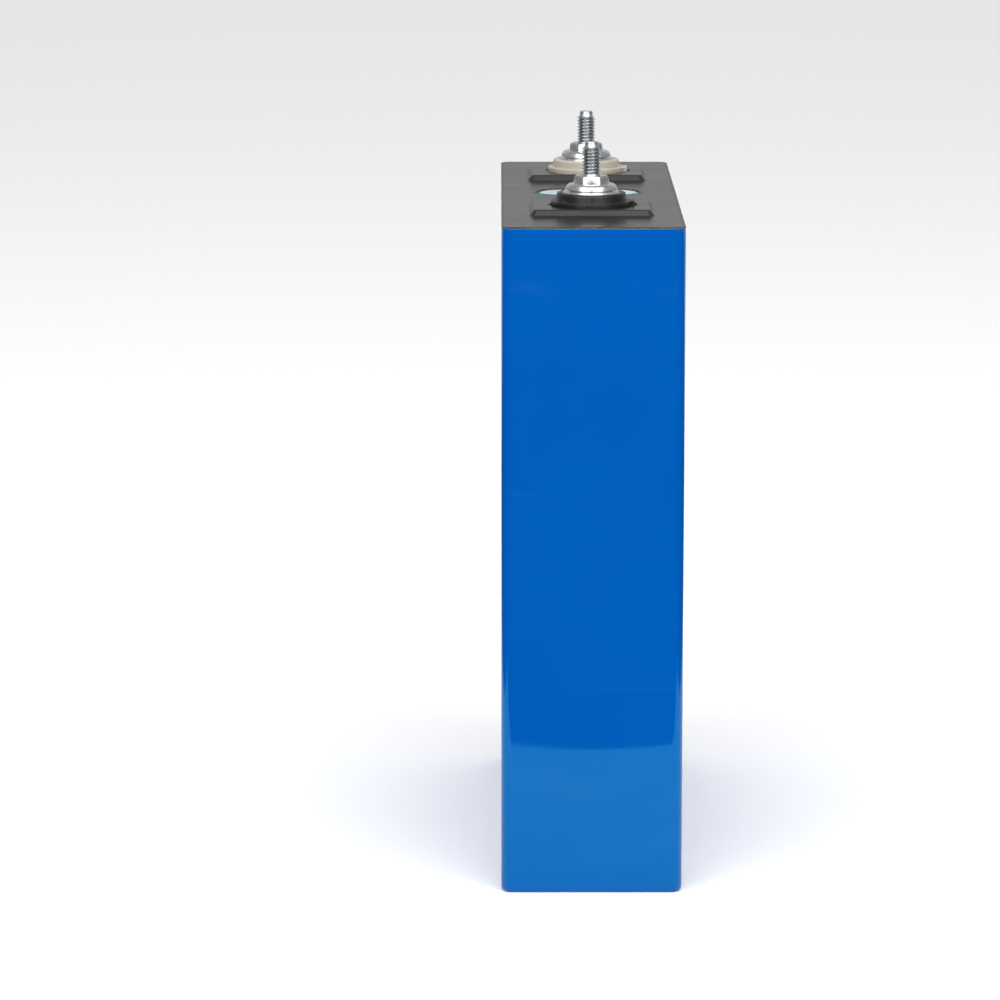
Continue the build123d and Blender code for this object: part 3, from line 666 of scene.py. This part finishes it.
def tab_angles(flange, reach, uniform=168, fine=8):
    """Angles round the axis, with extra ones along the tab's two short sides."""
    made = {math.tau * step / uniform for step in range(uniform)}
    outer = math.atan2(TAB_HALF_WIDTH, reach)
    inner = math.asin(TAB_HALF_WIDTH / flange)
    for step in range(-2, fine + 3):
        angle = outer + (inner - outer) * step / fine
        made.add(angle)
        made.add(math.tau - angle)
    return sorted(made)


def tabbed_radius(angle, flange, reach, half_width):
    """Radius of a round flange with one square tab towards +X."""
    if math.cos(angle) <= 0:
        return flange
    across = half_width / max(abs(math.sin(angle)), 1e-6)
    return max(flange, min(reach / math.cos(angle), across))


def make_insulator(pole):
    """Moulded terminal ring with rounded edges and a locating tab."""
    low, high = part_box(f"{pole}_upper_insulator")
    centre_y = TERMINAL_Y[pole]
    block_low, block_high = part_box(f"{pole}_terminal_block")
    bore = (block_high.x - block_low.x) / 2 + 0.04 * MM
    flange = -low.x
    ring = flange - FLANGE_REACH
    flange_top = PLATEAU_TOP + SHEET_THICKNESS + TAB_FLANGE_RISE
    angles = tab_angles(flange, high.x)
    edge = TAB_FLANGE_EDGE

    radii = [tabbed_radius(a, flange, high.x, TAB_HALF_WIDTH) for a in angles]

    def flange_ring(inset, z):
        return [polar(radius - inset, a, z, centre_y) for radius, a in zip(radii, angles)]

    rings = [flange_ring(0.0, low.z), flange_ring(0.0, (low.z + flange_top) / 2)]
    for step in range(6):
        turn = math.radians(18 * step)
        rings.append(flange_ring(edge * (1 - math.cos(turn)), flange_top - edge + edge * math.sin(turn)))
    profile = arc(ring + RING_FOOT, flange_top + RING_FOOT, RING_FOOT, -90, -180, 4)
    profile.append((ring - RING_TAPER * 0.5, (flange_top + high.z) / 2))
    profile += arc(ring - RING_TAPER - RING_EDGE, high.z - RING_EDGE, RING_EDGE, 0, 90, 9)
    profile += arc(bore + BORE_EDGE, high.z - BORE_EDGE, BORE_EDGE, 90, 180, 4)
    pole_bore = bore - POLE_BORE_INSET
    profile += [(bore, block_low.z), (pole_bore, block_low.z), (pole_bore, low.z)]
    rings += [[polar(r, a, z, centre_y) for a in angles] for r, z in profile]
    points, faces = skin(rings, closed_loop=True)
    slot_name = "beige_plastic" if pole == "positive" else "black_plastic"
    return publish(f"{pole}_terminal_ring", points, faces, slot_name, f"{pole}_upper_insulator")


# ---------------------------------------------------------------- outlines in plan


def rounded_outline(half_x, half_y, corner, spacing, corner_steps):
    """Points and outward normals round a rounded rectangle, counter-clockwise from +X."""
    points, normals = [], []
    straight_x = half_x - corner
    straight_y = half_y - corner
    steps_x = max(2, round(2 * straight_x / spacing))
    steps_y = max(2, round(2 * straight_y / spacing))
    sides = (
        ((half_x, -straight_y), (half_x, straight_y), 0, steps_y),
        ((straight_x, half_y), (-straight_x, half_y), 90, steps_x),
        ((-half_x, straight_y), (-half_x, -straight_y), 180, steps_y),
        ((-straight_x, -half_y), (straight_x, -half_y), 270, steps_x),
    )
    for start, end, facing, steps in sides:
        normal = (math.cos(math.radians(facing)), math.sin(math.radians(facing)))
        for step in range(steps):
            t = step / steps
            points.append((start[0] + (end[0] - start[0]) * t, start[1] + (end[1] - start[1]) * t))
            normals.append(normal)
        centre = (end[0] - corner * normal[0], end[1] - corner * normal[1])
        for step in range(corner_steps):
            angle = math.radians(facing + 90 * step / corner_steps)
            normal = (math.cos(angle), math.sin(angle))
            points.append((centre[0] + corner * normal[0], centre[1] + corner * normal[1]))
            normals.append(normal)
    return points, normals


def oval_outline(half_x, half_y, steps):
    """Stadium outline, longer along X, counter-clockwise from its +X, -Y shoulder."""
    straight = half_x - half_y
    points = []
    for side in (1, -1):
        for step in range(steps):
            angle = math.pi * step / steps - math.pi / 2 + (0 if side == 1 else math.pi)
            points.append((side * straight + half_y * math.cos(angle), half_y * math.sin(angle)))
        for step in range(steps):
            t = step / steps
            points.append((side * straight * (1 - 2 * t), side * half_y))
    return points


# ---------------------------------------------------------------- blue wrap

WRAP_GAUGE = 0.10 * MM
WRAP_CORNER = 3.5 * MM
WRAP_BASE_EDGE = 1.5 * MM
WRAP_TOP_EDGE = 0.28 * MM
WRAP_FLAP = 14.0 * MM
WRAP_SAG = 0.12 * MM
WRAP_REST = 0.05 * MM
WRAP_LIP = 1.2 * MM
WRAP_PUCKER = 0.16 * MM
WRAP_CREASE = 0.05 * MM
WRAP_BEAD = 0.045 * MM
SEAM_LAP = 0.11 * MM
SEAM_WIDTH = 9.0 * MM
SEAM_FROM_BACK = 22.0 * MM


def smooth_step(value, low, high):
    """Smooth rise from 0 at low to 1 at high."""
    t = min(max((value - low) / (high - low), 0.0), 1.0)
    return t * t * (3 - 2 * t)


def wrap_relief(x, y, z, normal):
    """How far the film sits inside its outer envelope, in metres: ripples, sag, puckers and folds."""
    ripple = noise.noise(Vector((x * 28, y * 28, z * 16))) * 0.012 * MM
    ripple += noise.noise(Vector((x * 90, y * 90, z * 50 + 7))) * 0.004 * MM
    across = abs(normal[1]) * math.cos(min(abs(x) / wrap_high.x, 1.0) * math.pi / 2)
    sag = WRAP_SAG * across * smooth_step(z, 30 * MM, 62 * MM) * (1 - smooth_step(z, 90 * MM, 190 * MM))
    pucker = noise.noise(Vector((x * 420, y * 420, z * 120))) * 0.5
    pucker += noise.noise(Vector((x * 130, y * 130, 3.0))) * 0.5
    pucker = WRAP_PUCKER * math.exp((z - wrap_high.z) / (1.6 * MM)) * (pucker + 0.35)
    crease = noise.noise(Vector((x * 240, y * 240, z * 160)))
    crease *= WRAP_CREASE * math.exp(-z / (2.2 * MM))
    corner = abs(normal[0] * normal[1]) * 2
    fold = WRAP_CREASE * corner * math.exp(-z / (5 * MM)) * (1 + math.sin(z / (0.9 * MM)))
    bead = WRAP_BEAD * math.exp(-(((z - 1.9 * MM) / (0.35 * MM)) ** 2))
    return WRAP_REST - bead + abs(ripple) * 0.6 + sag + max(pucker, 0.0) + abs(crease) + fold


def seam_step(x, y):
    """Inset of the film everywhere but at its vertical overlap on the +X face near the back."""
    seam_edge = wrap_high.y - SEAM_FROM_BACK
    lapped = smooth_step(y, seam_edge - SEAM_WIDTH, seam_edge - SEAM_WIDTH + 0.8 * MM)
    lapped -= smooth_step(y, seam_edge - 0.12 * MM, seam_edge)
    on_face = smooth_step(x, wrap_high.x - 0.4 * MM, wrap_high.x - 0.2 * MM)
    return SEAM_LAP * (1 - lapped * on_face)


def wrap_heights():
    """Rows up the wrap, closer together near its two ends."""
    low = WRAP_BASE_EDGE
    high = wrap_high.z - WRAP_TOP_EDGE
    rows = 64
    made = []
    for row in range(rows + 1):
        t = row / rows
        eased = 0.5 - 0.5 * math.cos(math.pi * t)
        made.append(low + (high - low) * (0.25 * t + 0.75 * eased))
    return made


def make_wrap():
    """Film sleeve with a lapped seam, a drawn-in top edge and flaps folded under the base."""
    outline, normals = rounded_outline(wrap_high.x, wrap_high.y, WRAP_CORNER, 0.75 * MM, 20)

    def ring(z, tuck, relief_z):
        made = []
        for (x, y), normal in zip(outline, normals):
            inset = wrap_relief(x, y, relief_z, normal) + tuck
            inset += seam_step(x, y) * smooth_step(abs(normal[0]), 0.3, 0.95)
            made.append((x - normal[0] * inset, y - normal[1] * inset, z))
        return made

    foot = ring(0.0, WRAP_BASE_EDGE, 0.0)
    rings = [[on_flap(point, t) for point in foot] for t in (1.0, 0.75, 0.5, 0.25)]
    for step in range(8):
        turn = math.radians(90 * step / 8)
        tuck = WRAP_BASE_EDGE * (1 - math.sin(turn))
        z = WRAP_BASE_EDGE * (1 - math.cos(turn))
        rings.append(ring(z, tuck, z))
    for z in wrap_heights():
        rings.append(ring(z, 0.0, z))
    for step in range(1, 7):
        turn = math.radians(15 * step)
        z = wrap_high.z - WRAP_TOP_EDGE * (1 - math.sin(turn))
        rings.append(ring(z, WRAP_TOP_EDGE * (1 - math.cos(turn)), z))
    rings.append(ring(wrap_high.z, WRAP_TOP_EDGE + WRAP_LIP, wrap_high.z))
    points, faces = skin(rings)
    piece = publish("blue_wrap", points, faces, "blue_film", "wrap_sleeve", sharp_degrees=60)
    join_points(piece)
    thicken(piece, WRAP_GAUGE)
    return piece


def on_flap(point, t):
    """Point on the base flap, a share t of the way from the folded edge to the flap's inner end."""
    limit_x = wrap_high.x - WRAP_FLAP
    limit_y = wrap_high.y - WRAP_FLAP
    inner_x = min(max(point[0], -limit_x), limit_x)
    inner_y = min(max(point[1], -limit_y), limit_y)
    return (point[0] + (inner_x - point[0]) * t, point[1] + (inner_y - point[1]) * t, 0.0)


def join_points(piece):
    """Merge points that lie on each other."""
    weld = piece.modifiers.new("joined", "WELD")
    weld.merge_threshold = 0.005 * MM


def thicken(piece, gauge, rim_material=None):
    """Give a film its thickness, inwards from its outer face."""
    solidify = piece.modifiers.new("gauge", "SOLIDIFY")
    solidify.thickness = gauge
    solidify.offset = -1.0
    solidify.use_even_offset = False
    if rim_material is not None:
        piece.data.materials.append(rim_material)
        solidify.material_offset_rim = 1


# ---------------------------------------------------------------- black top sheet

SHEET_GAUGE = 0.24 * MM
PAD_CORNER = 3.1 * MM
PAD_SLOPE = 40
PAD_EDGE = 0.9 * MM
PAD_FOOT = 0.9 * MM
PAD_MARGIN_X = 7.25 * MM
PAD_MARGIN_Y = 3.05 * MM
CUTOUT_GAP = 0.45 * MM
FOOT_APRON = 1.2 * MM
FILL_SPACING = 1.8 * MM
FILL_CLEARANCE = 0.9 * MM
SHEET_CORNER = 3.35 * MM
CUT_BULGE = 0.55 * MM
VENT_GAP = 0.5 * MM
RING_FLANGE = -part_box("positive_upper_insulator")[0].x
PAD_HALF_X = RING_FLANGE + PAD_MARGIN_X
PAD_HALF_Y = RING_FLANGE + PAD_MARGIN_Y


def pad_loop(offset, z, centre_y):
    """Loop round a plateau, grown by an offset."""
    base, normals = rounded_outline(PAD_HALF_X, PAD_HALF_Y, PAD_CORNER, 0.45 * MM, 14)
    made = []
    for (x, y), normal in zip(base, normals):
        wobble = noise.noise(Vector((x * 160, (y + centre_y) * 160, z * 300))) * 0.03 * MM
        grow = offset + wobble
        made.append((x + normal[0] * grow, centre_y + y + normal[1] * grow, z))
    return made


def cutout_loop(reference, z, centre_y, pole):
    """Edge of the hole round a terminal ring, at the reference loop's angles."""
    low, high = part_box(f"{pole}_upper_insulator")
    flange = -low.x + CUTOUT_GAP
    reach = high.x + CUTOUT_GAP * 1.6
    half_width = TAB_HALF_WIDTH + CUTOUT_GAP * 1.3
    made = []
    for x, y, _ in reference:
        angle = math.atan2(y - centre_y, x)
        radius = tabbed_radius(angle, flange, reach, half_width)
        radius += CUT_BULGE * math.exp(-((math.degrees(abs(abs(angle) - math.pi)) / 5.0) ** 2))
        place = Vector((math.cos(angle) * 2, math.sin(angle) * 2, centre_y))
        curl = 0.05 * MM + 0.10 * MM * abs(noise.noise(place))
        made.append((radius * math.cos(angle), centre_y + radius * math.sin(angle), z + curl))
    return made


def mix_loops(first, second, t):
    """Loop a share t of the way from the first to the second."""
    return [tuple(a + (b - a) * t for a, b in zip(p, q)) for p, q in zip(first, second)]


def pad_wall_profile():
    """Offsets and heights down a plateau's sloped wall, from its top edge to the flat sheet."""
    top = PLATEAU_TOP + SHEET_THICKNESS
    lean = math.radians(PAD_SLOPE)
    turns = fillet_turns(lean)
    convex = [(PAD_EDGE * math.sin(t), top - PAD_EDGE * (1 - math.cos(t))) for t in turns]
    concave = [(-PAD_FOOT * math.sin(t), FLAT_TOP + PAD_FOOT * (1 - math.cos(t))) for t in turns]
    run = (convex[-1][1] - concave[-1][1]) * math.tan(lean)
    shift = concave[-1][0] - run - convex[-1][0]
    return [(offset + shift, z) for offset, z in convex] + concave[::-1]


def fillet_turns(lean):
    """Angles turned through by a fillet between level and a wall that leans off upright."""
    whole = math.pi / 2 - lean
    return [whole * step / 6 for step in range(7)]


def pad_loops(pole):
    """Loops from a terminal's cut-out, over the plateau's edge and down to the flat sheet."""
    centre_y = TERMINAL_Y[pole]
    top = PLATEAU_TOP + SHEET_THICKNESS
    profile = pad_wall_profile()
    brink = pad_loop(profile[0][0], top, centre_y)
    cutout = cutout_loop(brink, top, centre_y, pole)
    settled = [(x, y, top) for x, y, _ in mix_loops(cutout, brink, 0.3)]
    loops = [cutout, mix_loops(cutout, settled, 0.5), settled, mix_loops(settled, brink, 0.5), brink]
    for offset, z in profile[1:]:
        loops.append(pad_loop(offset, z, centre_y))
    loops.append([(x, y, FLAT_TOP) for x, y, _ in pad_loop(FOOT_APRON, FLAT_TOP, centre_y)])
    return loops


def sheet_waviness(x, y):
    """Gentle unevenness of the stuck-down sheet, fading out at its formed edges."""
    fade = 1.0
    for pole in POLE_NAMES:
        beyond_x = abs(x) - PAD_HALF_X - 1.6 * MM
        beyond_y = abs(y - TERMINAL_Y[pole]) - PAD_HALF_Y - 1.6 * MM
        fade = min(fade, smooth_step(max(beyond_x, beyond_y), 0.0, 2.5 * MM))
    return -0.05 * MM * fade * (0.5 + noise.noise(Vector((x * 70, y * 70, 1.0))))


def inside_oval(x, y, half_x, half_y):
    """Whether a point lies inside a stadium round the origin."""
    nearest_x = min(max(x, half_y - half_x), half_x - half_y)
    return math.hypot(x - nearest_x, y) < half_y


def inside_rounded(x, y, half_x, half_y, corner):
    """Whether a point lies inside a rounded rectangle round the origin."""
    away_x = max(abs(x) - (half_x - corner), 0.0)
    away_y = max(abs(y) - (half_y - corner), 0.0)
    return abs(x) < half_x and abs(y) < half_y and math.hypot(away_x, away_y) < corner


def inside_loop(x, y, loop):
    """Whether a point lies inside a closed loop of (x, y) points."""
    inside = False
    for (x0, y0), (x1, y1) in zip(loop, loop[1:] + loop[:1]):
        if (y0 > y) != (y1 > y) and x < x0 + (x1 - x0) * (y - y0) / (y1 - y0):
            inside = not inside
    return inside


def sheet_border():
    """Outer edge of the sheet, trimmed a little unevenly."""
    outline, normals = rounded_outline(sheet_high.x, sheet_high.y, SHEET_CORNER, 0.9 * MM, 12)
    made = []
    for (x, y), normal in zip(outline, normals):
        trim = 0.03 * MM + abs(noise.noise(Vector((x * 70, y * 70, 5.0)))) * 0.10 * MM
        trim += abs(noise.noise(Vector((x * 420, y * 420, 9.0)))) * 0.03 * MM
        made.append((x - normal[0] * trim, y - normal[1] * trim))
    return made


def fill_flat(feet, window_half_x, window_half_y, window_y):
    """Triangulated flat part of the sheet between its border, the plateaus' feet and the vent window."""
    border = sheet_border()
    window = [(x, y + window_y) for x, y in oval_outline(window_half_x, window_half_y, 24)]
    loops = [border, window] + [[(x, y) for x, y, _ in foot] for foot in feet]
    grow = FOOT_APRON + FILL_CLEARANCE
    pad = (PAD_HALF_X + grow, PAD_HALF_Y + grow, PAD_CORNER + grow)
    window_half_x += FILL_CLEARANCE
    window_half_y += FILL_CLEARANCE

    def on_flat(x, y):
        return inside_loop(x, y, border) and not any(inside_loop(x, y, hole) for hole in loops[1:])

    def near_hole(x, y):
        if inside_oval(x, y - window_y, window_half_x, window_half_y):
            return True
        return any(inside_rounded(x, y - TERMINAL_Y[pole], *pad) for pole in POLE_NAMES)

    flat_points, edges = [], []
    for loop in loops:
        start = len(flat_points)
        flat_points += [Vector(point) for point in loop]
        edges += [(start + i, start + (i + 1) % len(loop)) for i in range(len(loop))]
    on_loops = len(flat_points)
    limit_x = sheet_high.x - FILL_CLEARANCE
    limit_y = sheet_high.y - FILL_CLEARANCE
    steps_x = int(sheet_high.x / FILL_SPACING) + 1
    steps_y = int(sheet_high.y / FILL_SPACING) + 1
    for i in range(-steps_x, steps_x + 1):
        for j in range(-steps_y, steps_y + 1):
            x = (i + 0.5 * (j % 2)) * FILL_SPACING
            y = j * FILL_SPACING
            if inside_rounded(x, y, limit_x, limit_y, 3.0 * MM) and not near_hole(x, y):
                flat_points.append(Vector((x, y)))
    spots_2d, _, triangles, _, _, _ = geometry.delaunay_2d_cdt(flat_points, edges, [], 0, 1e-7)
    points = [(p.x, p.y, FLAT_TOP + sheet_waviness(p.x, p.y)) for p in spots_2d]
    kept = []
    for triangle in triangles:
        x = sum(spots_2d[i].x for i in triangle) / 3
        y = sum(spots_2d[i].y for i in triangle) / 3
        if max(triangle) >= on_loops or on_flat(x, y):
            kept.append(tuple(triangle))
    return points, kept


def make_top_sheet():
    """Black sheet pressed over the plateaus, with curled edges at its cut-outs."""
    all_points, all_faces, feet = [], [], []
    for pole in POLE_NAMES:
        loops = pad_loops(pole)
        feet.append(loops[-1])
        points, faces = skin(loops)
        offset = len(all_points)
        all_points += points
        all_faces += [tuple(index + offset for index in face[::-1]) for face in faces]
    film_low, film_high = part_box("vent_film")
    film_y = (film_low.y + film_high.y) / 2
    points, faces = fill_flat(feet, film_high.x + VENT_GAP, film_high.y - film_y + VENT_GAP, film_y)
    offset = len(all_points)
    all_points += points
    all_faces += [tuple(index + offset for index in face) for face in faces]
    piece = publish(
        "top_sheet_pressed", all_points, all_faces, "black_sheet", "top_sheet", sharp_degrees=70
    )
    join_points(piece)
    thicken(piece, SHEET_GAUGE, sheet_edge())
    return piece


# ---------------------------------------------------------------- vent film

# Inset in millimetres, and height as a share of the film's box, from its edge inwards.
FILM_EDGE = ((0.0, 0.0), (0.12, 0.3), (0.5, 0.6), (1.0, 0.8))
FILM_MIDDLE = ((1.6, 0.75), (2.4, 0.55), (4.0, 0.5), (6.5, 0.6))
FILM_GAUGE = 0.04 * MM
FILM_STEPS = 40


def make_vent_film():
    """Clear film over the vent with a cyan glued border, slightly blistered."""
    low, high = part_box("vent_film")
    middle = (low.y + high.y) / 2
    rings = []
    for inset, lift in FILM_EDGE + FILM_MIDDLE:
        outline = oval_outline(high.x - inset * MM, high.y - middle - inset * MM, FILM_STEPS)
        ring = []
        for x, flat_y in outline:
            y = flat_y + middle
            blister = noise.noise(Vector((x * 150, y * 150, 2.0))) * 0.35 * min(inset / 2, 1.0)
            ring.append((x, y, low.z + (high.z - low.z) * min(max(lift + blister, 0.05), 1.0)))
        rings.append(ring)
    points, faces = skin(rings)
    count = len(rings[0])
    add_cap(points, faces, (len(rings) - 1) * count, count)
    piece = publish("vent_film_clear", points, faces, "vent_film", "vent_film", sharp_degrees=60)
    piece.data.materials.append(film_rim())
    for polygon in piece.data.polygons:
        inner_row = min(polygon.vertices) // count
        polygon.material_index = 1 if inner_row < len(FILM_EDGE) - 1 else 0
    thicken(piece, FILM_GAUGE)
    return piece


# ---------------------------------------------------------------- studio

# The glossy film reflects only the table, which ends here. The floor round it stays out of reflections.
TABLE_FRONT = wrap_low.y - 195 * MM
TABLE_BACK = 0.6
TABLE_SIDE = 0.3
FLOOR_SPREAD = 9.0


def plane(name, low, high, visible_glossy=True):
    """Flat stage sheet on the floor, dressed in pale paper."""
    corners = [(low[0], low[1], 0), (high[0], low[1], 0), (high[0], high[1], 0), (low[0], high[1], 0)]
    mesh = bpy.data.meshes.new(name)
    mesh.from_pydata(corners, [], [(0, 1, 2, 3)])
    mesh.materials.append(PAPER)
    sheet = bpy.data.objects.new(name, mesh)
    bpy.context.scene.collection.objects.link(sheet)
    sheet.visible_glossy = visible_glossy
    return sheet


def area_light(name, place, aim, size, watts, glossy=True):
    """Rectangular soft light."""
    data = bpy.data.lights.new(name, "AREA")
    data.shape = "RECTANGLE"
    data.size, data.size_y = size
    data.energy = watts
    light = bpy.data.objects.new(name, data)
    bpy.context.scene.collection.objects.link(light)
    light.location = place
    light.rotation_euler = (Vector(aim) - Vector(place)).to_track_quat("-Z", "Y").to_euler()
    light.visible_camera = False
    light.visible_glossy = glossy
    return light


def make_world():
    """Pale to the camera; to everything else a dim room that is darker below the horizon."""
    world = bpy.data.worlds.new("studio")
    bpy.context.scene.world = world
    world.use_nodes = True
    tree = world.node_tree
    tree.nodes.clear()
    output = tree.nodes.new("ShaderNodeOutputWorld")
    mix = tree.nodes.new("ShaderNodeMixShader")
    rays = tree.nodes.new("ShaderNodeLightPath")
    dim = tree.nodes.new("ShaderNodeBackground")
    pale = tree.nodes.new("ShaderNodeBackground")
    direction = tree.nodes.new("ShaderNodeTexCoord")
    axes = tree.nodes.new("ShaderNodeSeparateXYZ")
    tree.links.new(direction.outputs["Generated"], axes.inputs["Vector"])
    tree.links.new(remap(tree, axes.outputs["Z"], -0.05, 0.2, 0.04, 0.32), dim.inputs["Strength"])
    set_inputs(dim, Color=(0.97, 0.98, 1.0, 1))
    set_inputs(pale, Color=(1, 1, 1, 1), Strength=1.0)
    tree.links.new(rays.outputs["Is Camera Ray"], mix.inputs["Fac"])
    tree.links.new(dim.outputs["Background"], mix.inputs[1])
    tree.links.new(pale.outputs["Background"], mix.inputs[2])
    tree.links.new(mix.outputs["Shader"], output.inputs["Surface"])


def make_studio():
    """White table and floor, two tall softboxes, a light over the front, a backdrop and an even fill."""
    plane("table", (-TABLE_SIDE, TABLE_FRONT), (TABLE_SIDE, TABLE_BACK))
    plane("floor_back", (-FLOOR_SPREAD, TABLE_BACK), (FLOOR_SPREAD, FLOOR_SPREAD))
    plane("floor_left", (-FLOOR_SPREAD, TABLE_FRONT), (-TABLE_SIDE, TABLE_BACK), visible_glossy=False)
    plane("floor_right", (TABLE_SIDE, TABLE_FRONT), (FLOOR_SPREAD, TABLE_BACK), visible_glossy=False)
    near_corner = (-FLOOR_SPREAD, -FLOOR_SPREAD)
    plane("floor_front", near_corner, (FLOOR_SPREAD, TABLE_FRONT), visible_glossy=False)
    make_world()
    area_light("softbox_left", (-0.74, -1.39, 1.43), (0, 0, 0.2), (1.45, 2.6), 27)
    area_light("softbox_right", (0.74, -1.39, 1.43), (0, 0, 0.2), (1.45, 2.6), 27)
    area_light("front_top", (0, -0.72, 1.7), (0, 0, 0.2), (2.6, 0.8), 6.7)
    area_light("backdrop", (0, 3.7, 1.4), (0, 0, 0.3), (6.0, 2.6), 12)
    area_light("fill", (0, 2.0, 3.0), (0, 2.0, 0), (8.0, 8.0), 110, glossy=False)


CAMERA_PLACE = (-27.7 * MM, -1487.15 * MM, 380.4 * MM)
CAMERA_PITCH = 10.499
CAMERA_LENS = 172.0


def make_camera():
    """Long lens in line with the cell's left side, looking a little down."""
    data = bpy.data.cameras.new("camera")
    data.lens = CAMERA_LENS
    data.sensor_width = 36.0
    data.clip_start = 0.05
    data.clip_end = 60.0
    camera = bpy.data.objects.new("camera", data)
    bpy.context.scene.collection.objects.link(camera)
    camera.location = CAMERA_PLACE
    camera.rotation_euler = (math.radians(90 - CAMERA_PITCH), 0, 0)
    bpy.context.scene.camera = camera


PAPER = pale_floor()
dress_cad_nodes()
for pole_name in POLE_NAMES:
    make_stud(pole_name)
    make_stud_weld(pole_name)
    make_insulator(pole_name)
make_wrap()
make_top_sheet()
make_vent_film()
make_studio()
make_camera()
bpy.context.scene.view_settings.view_transform = "Standard"
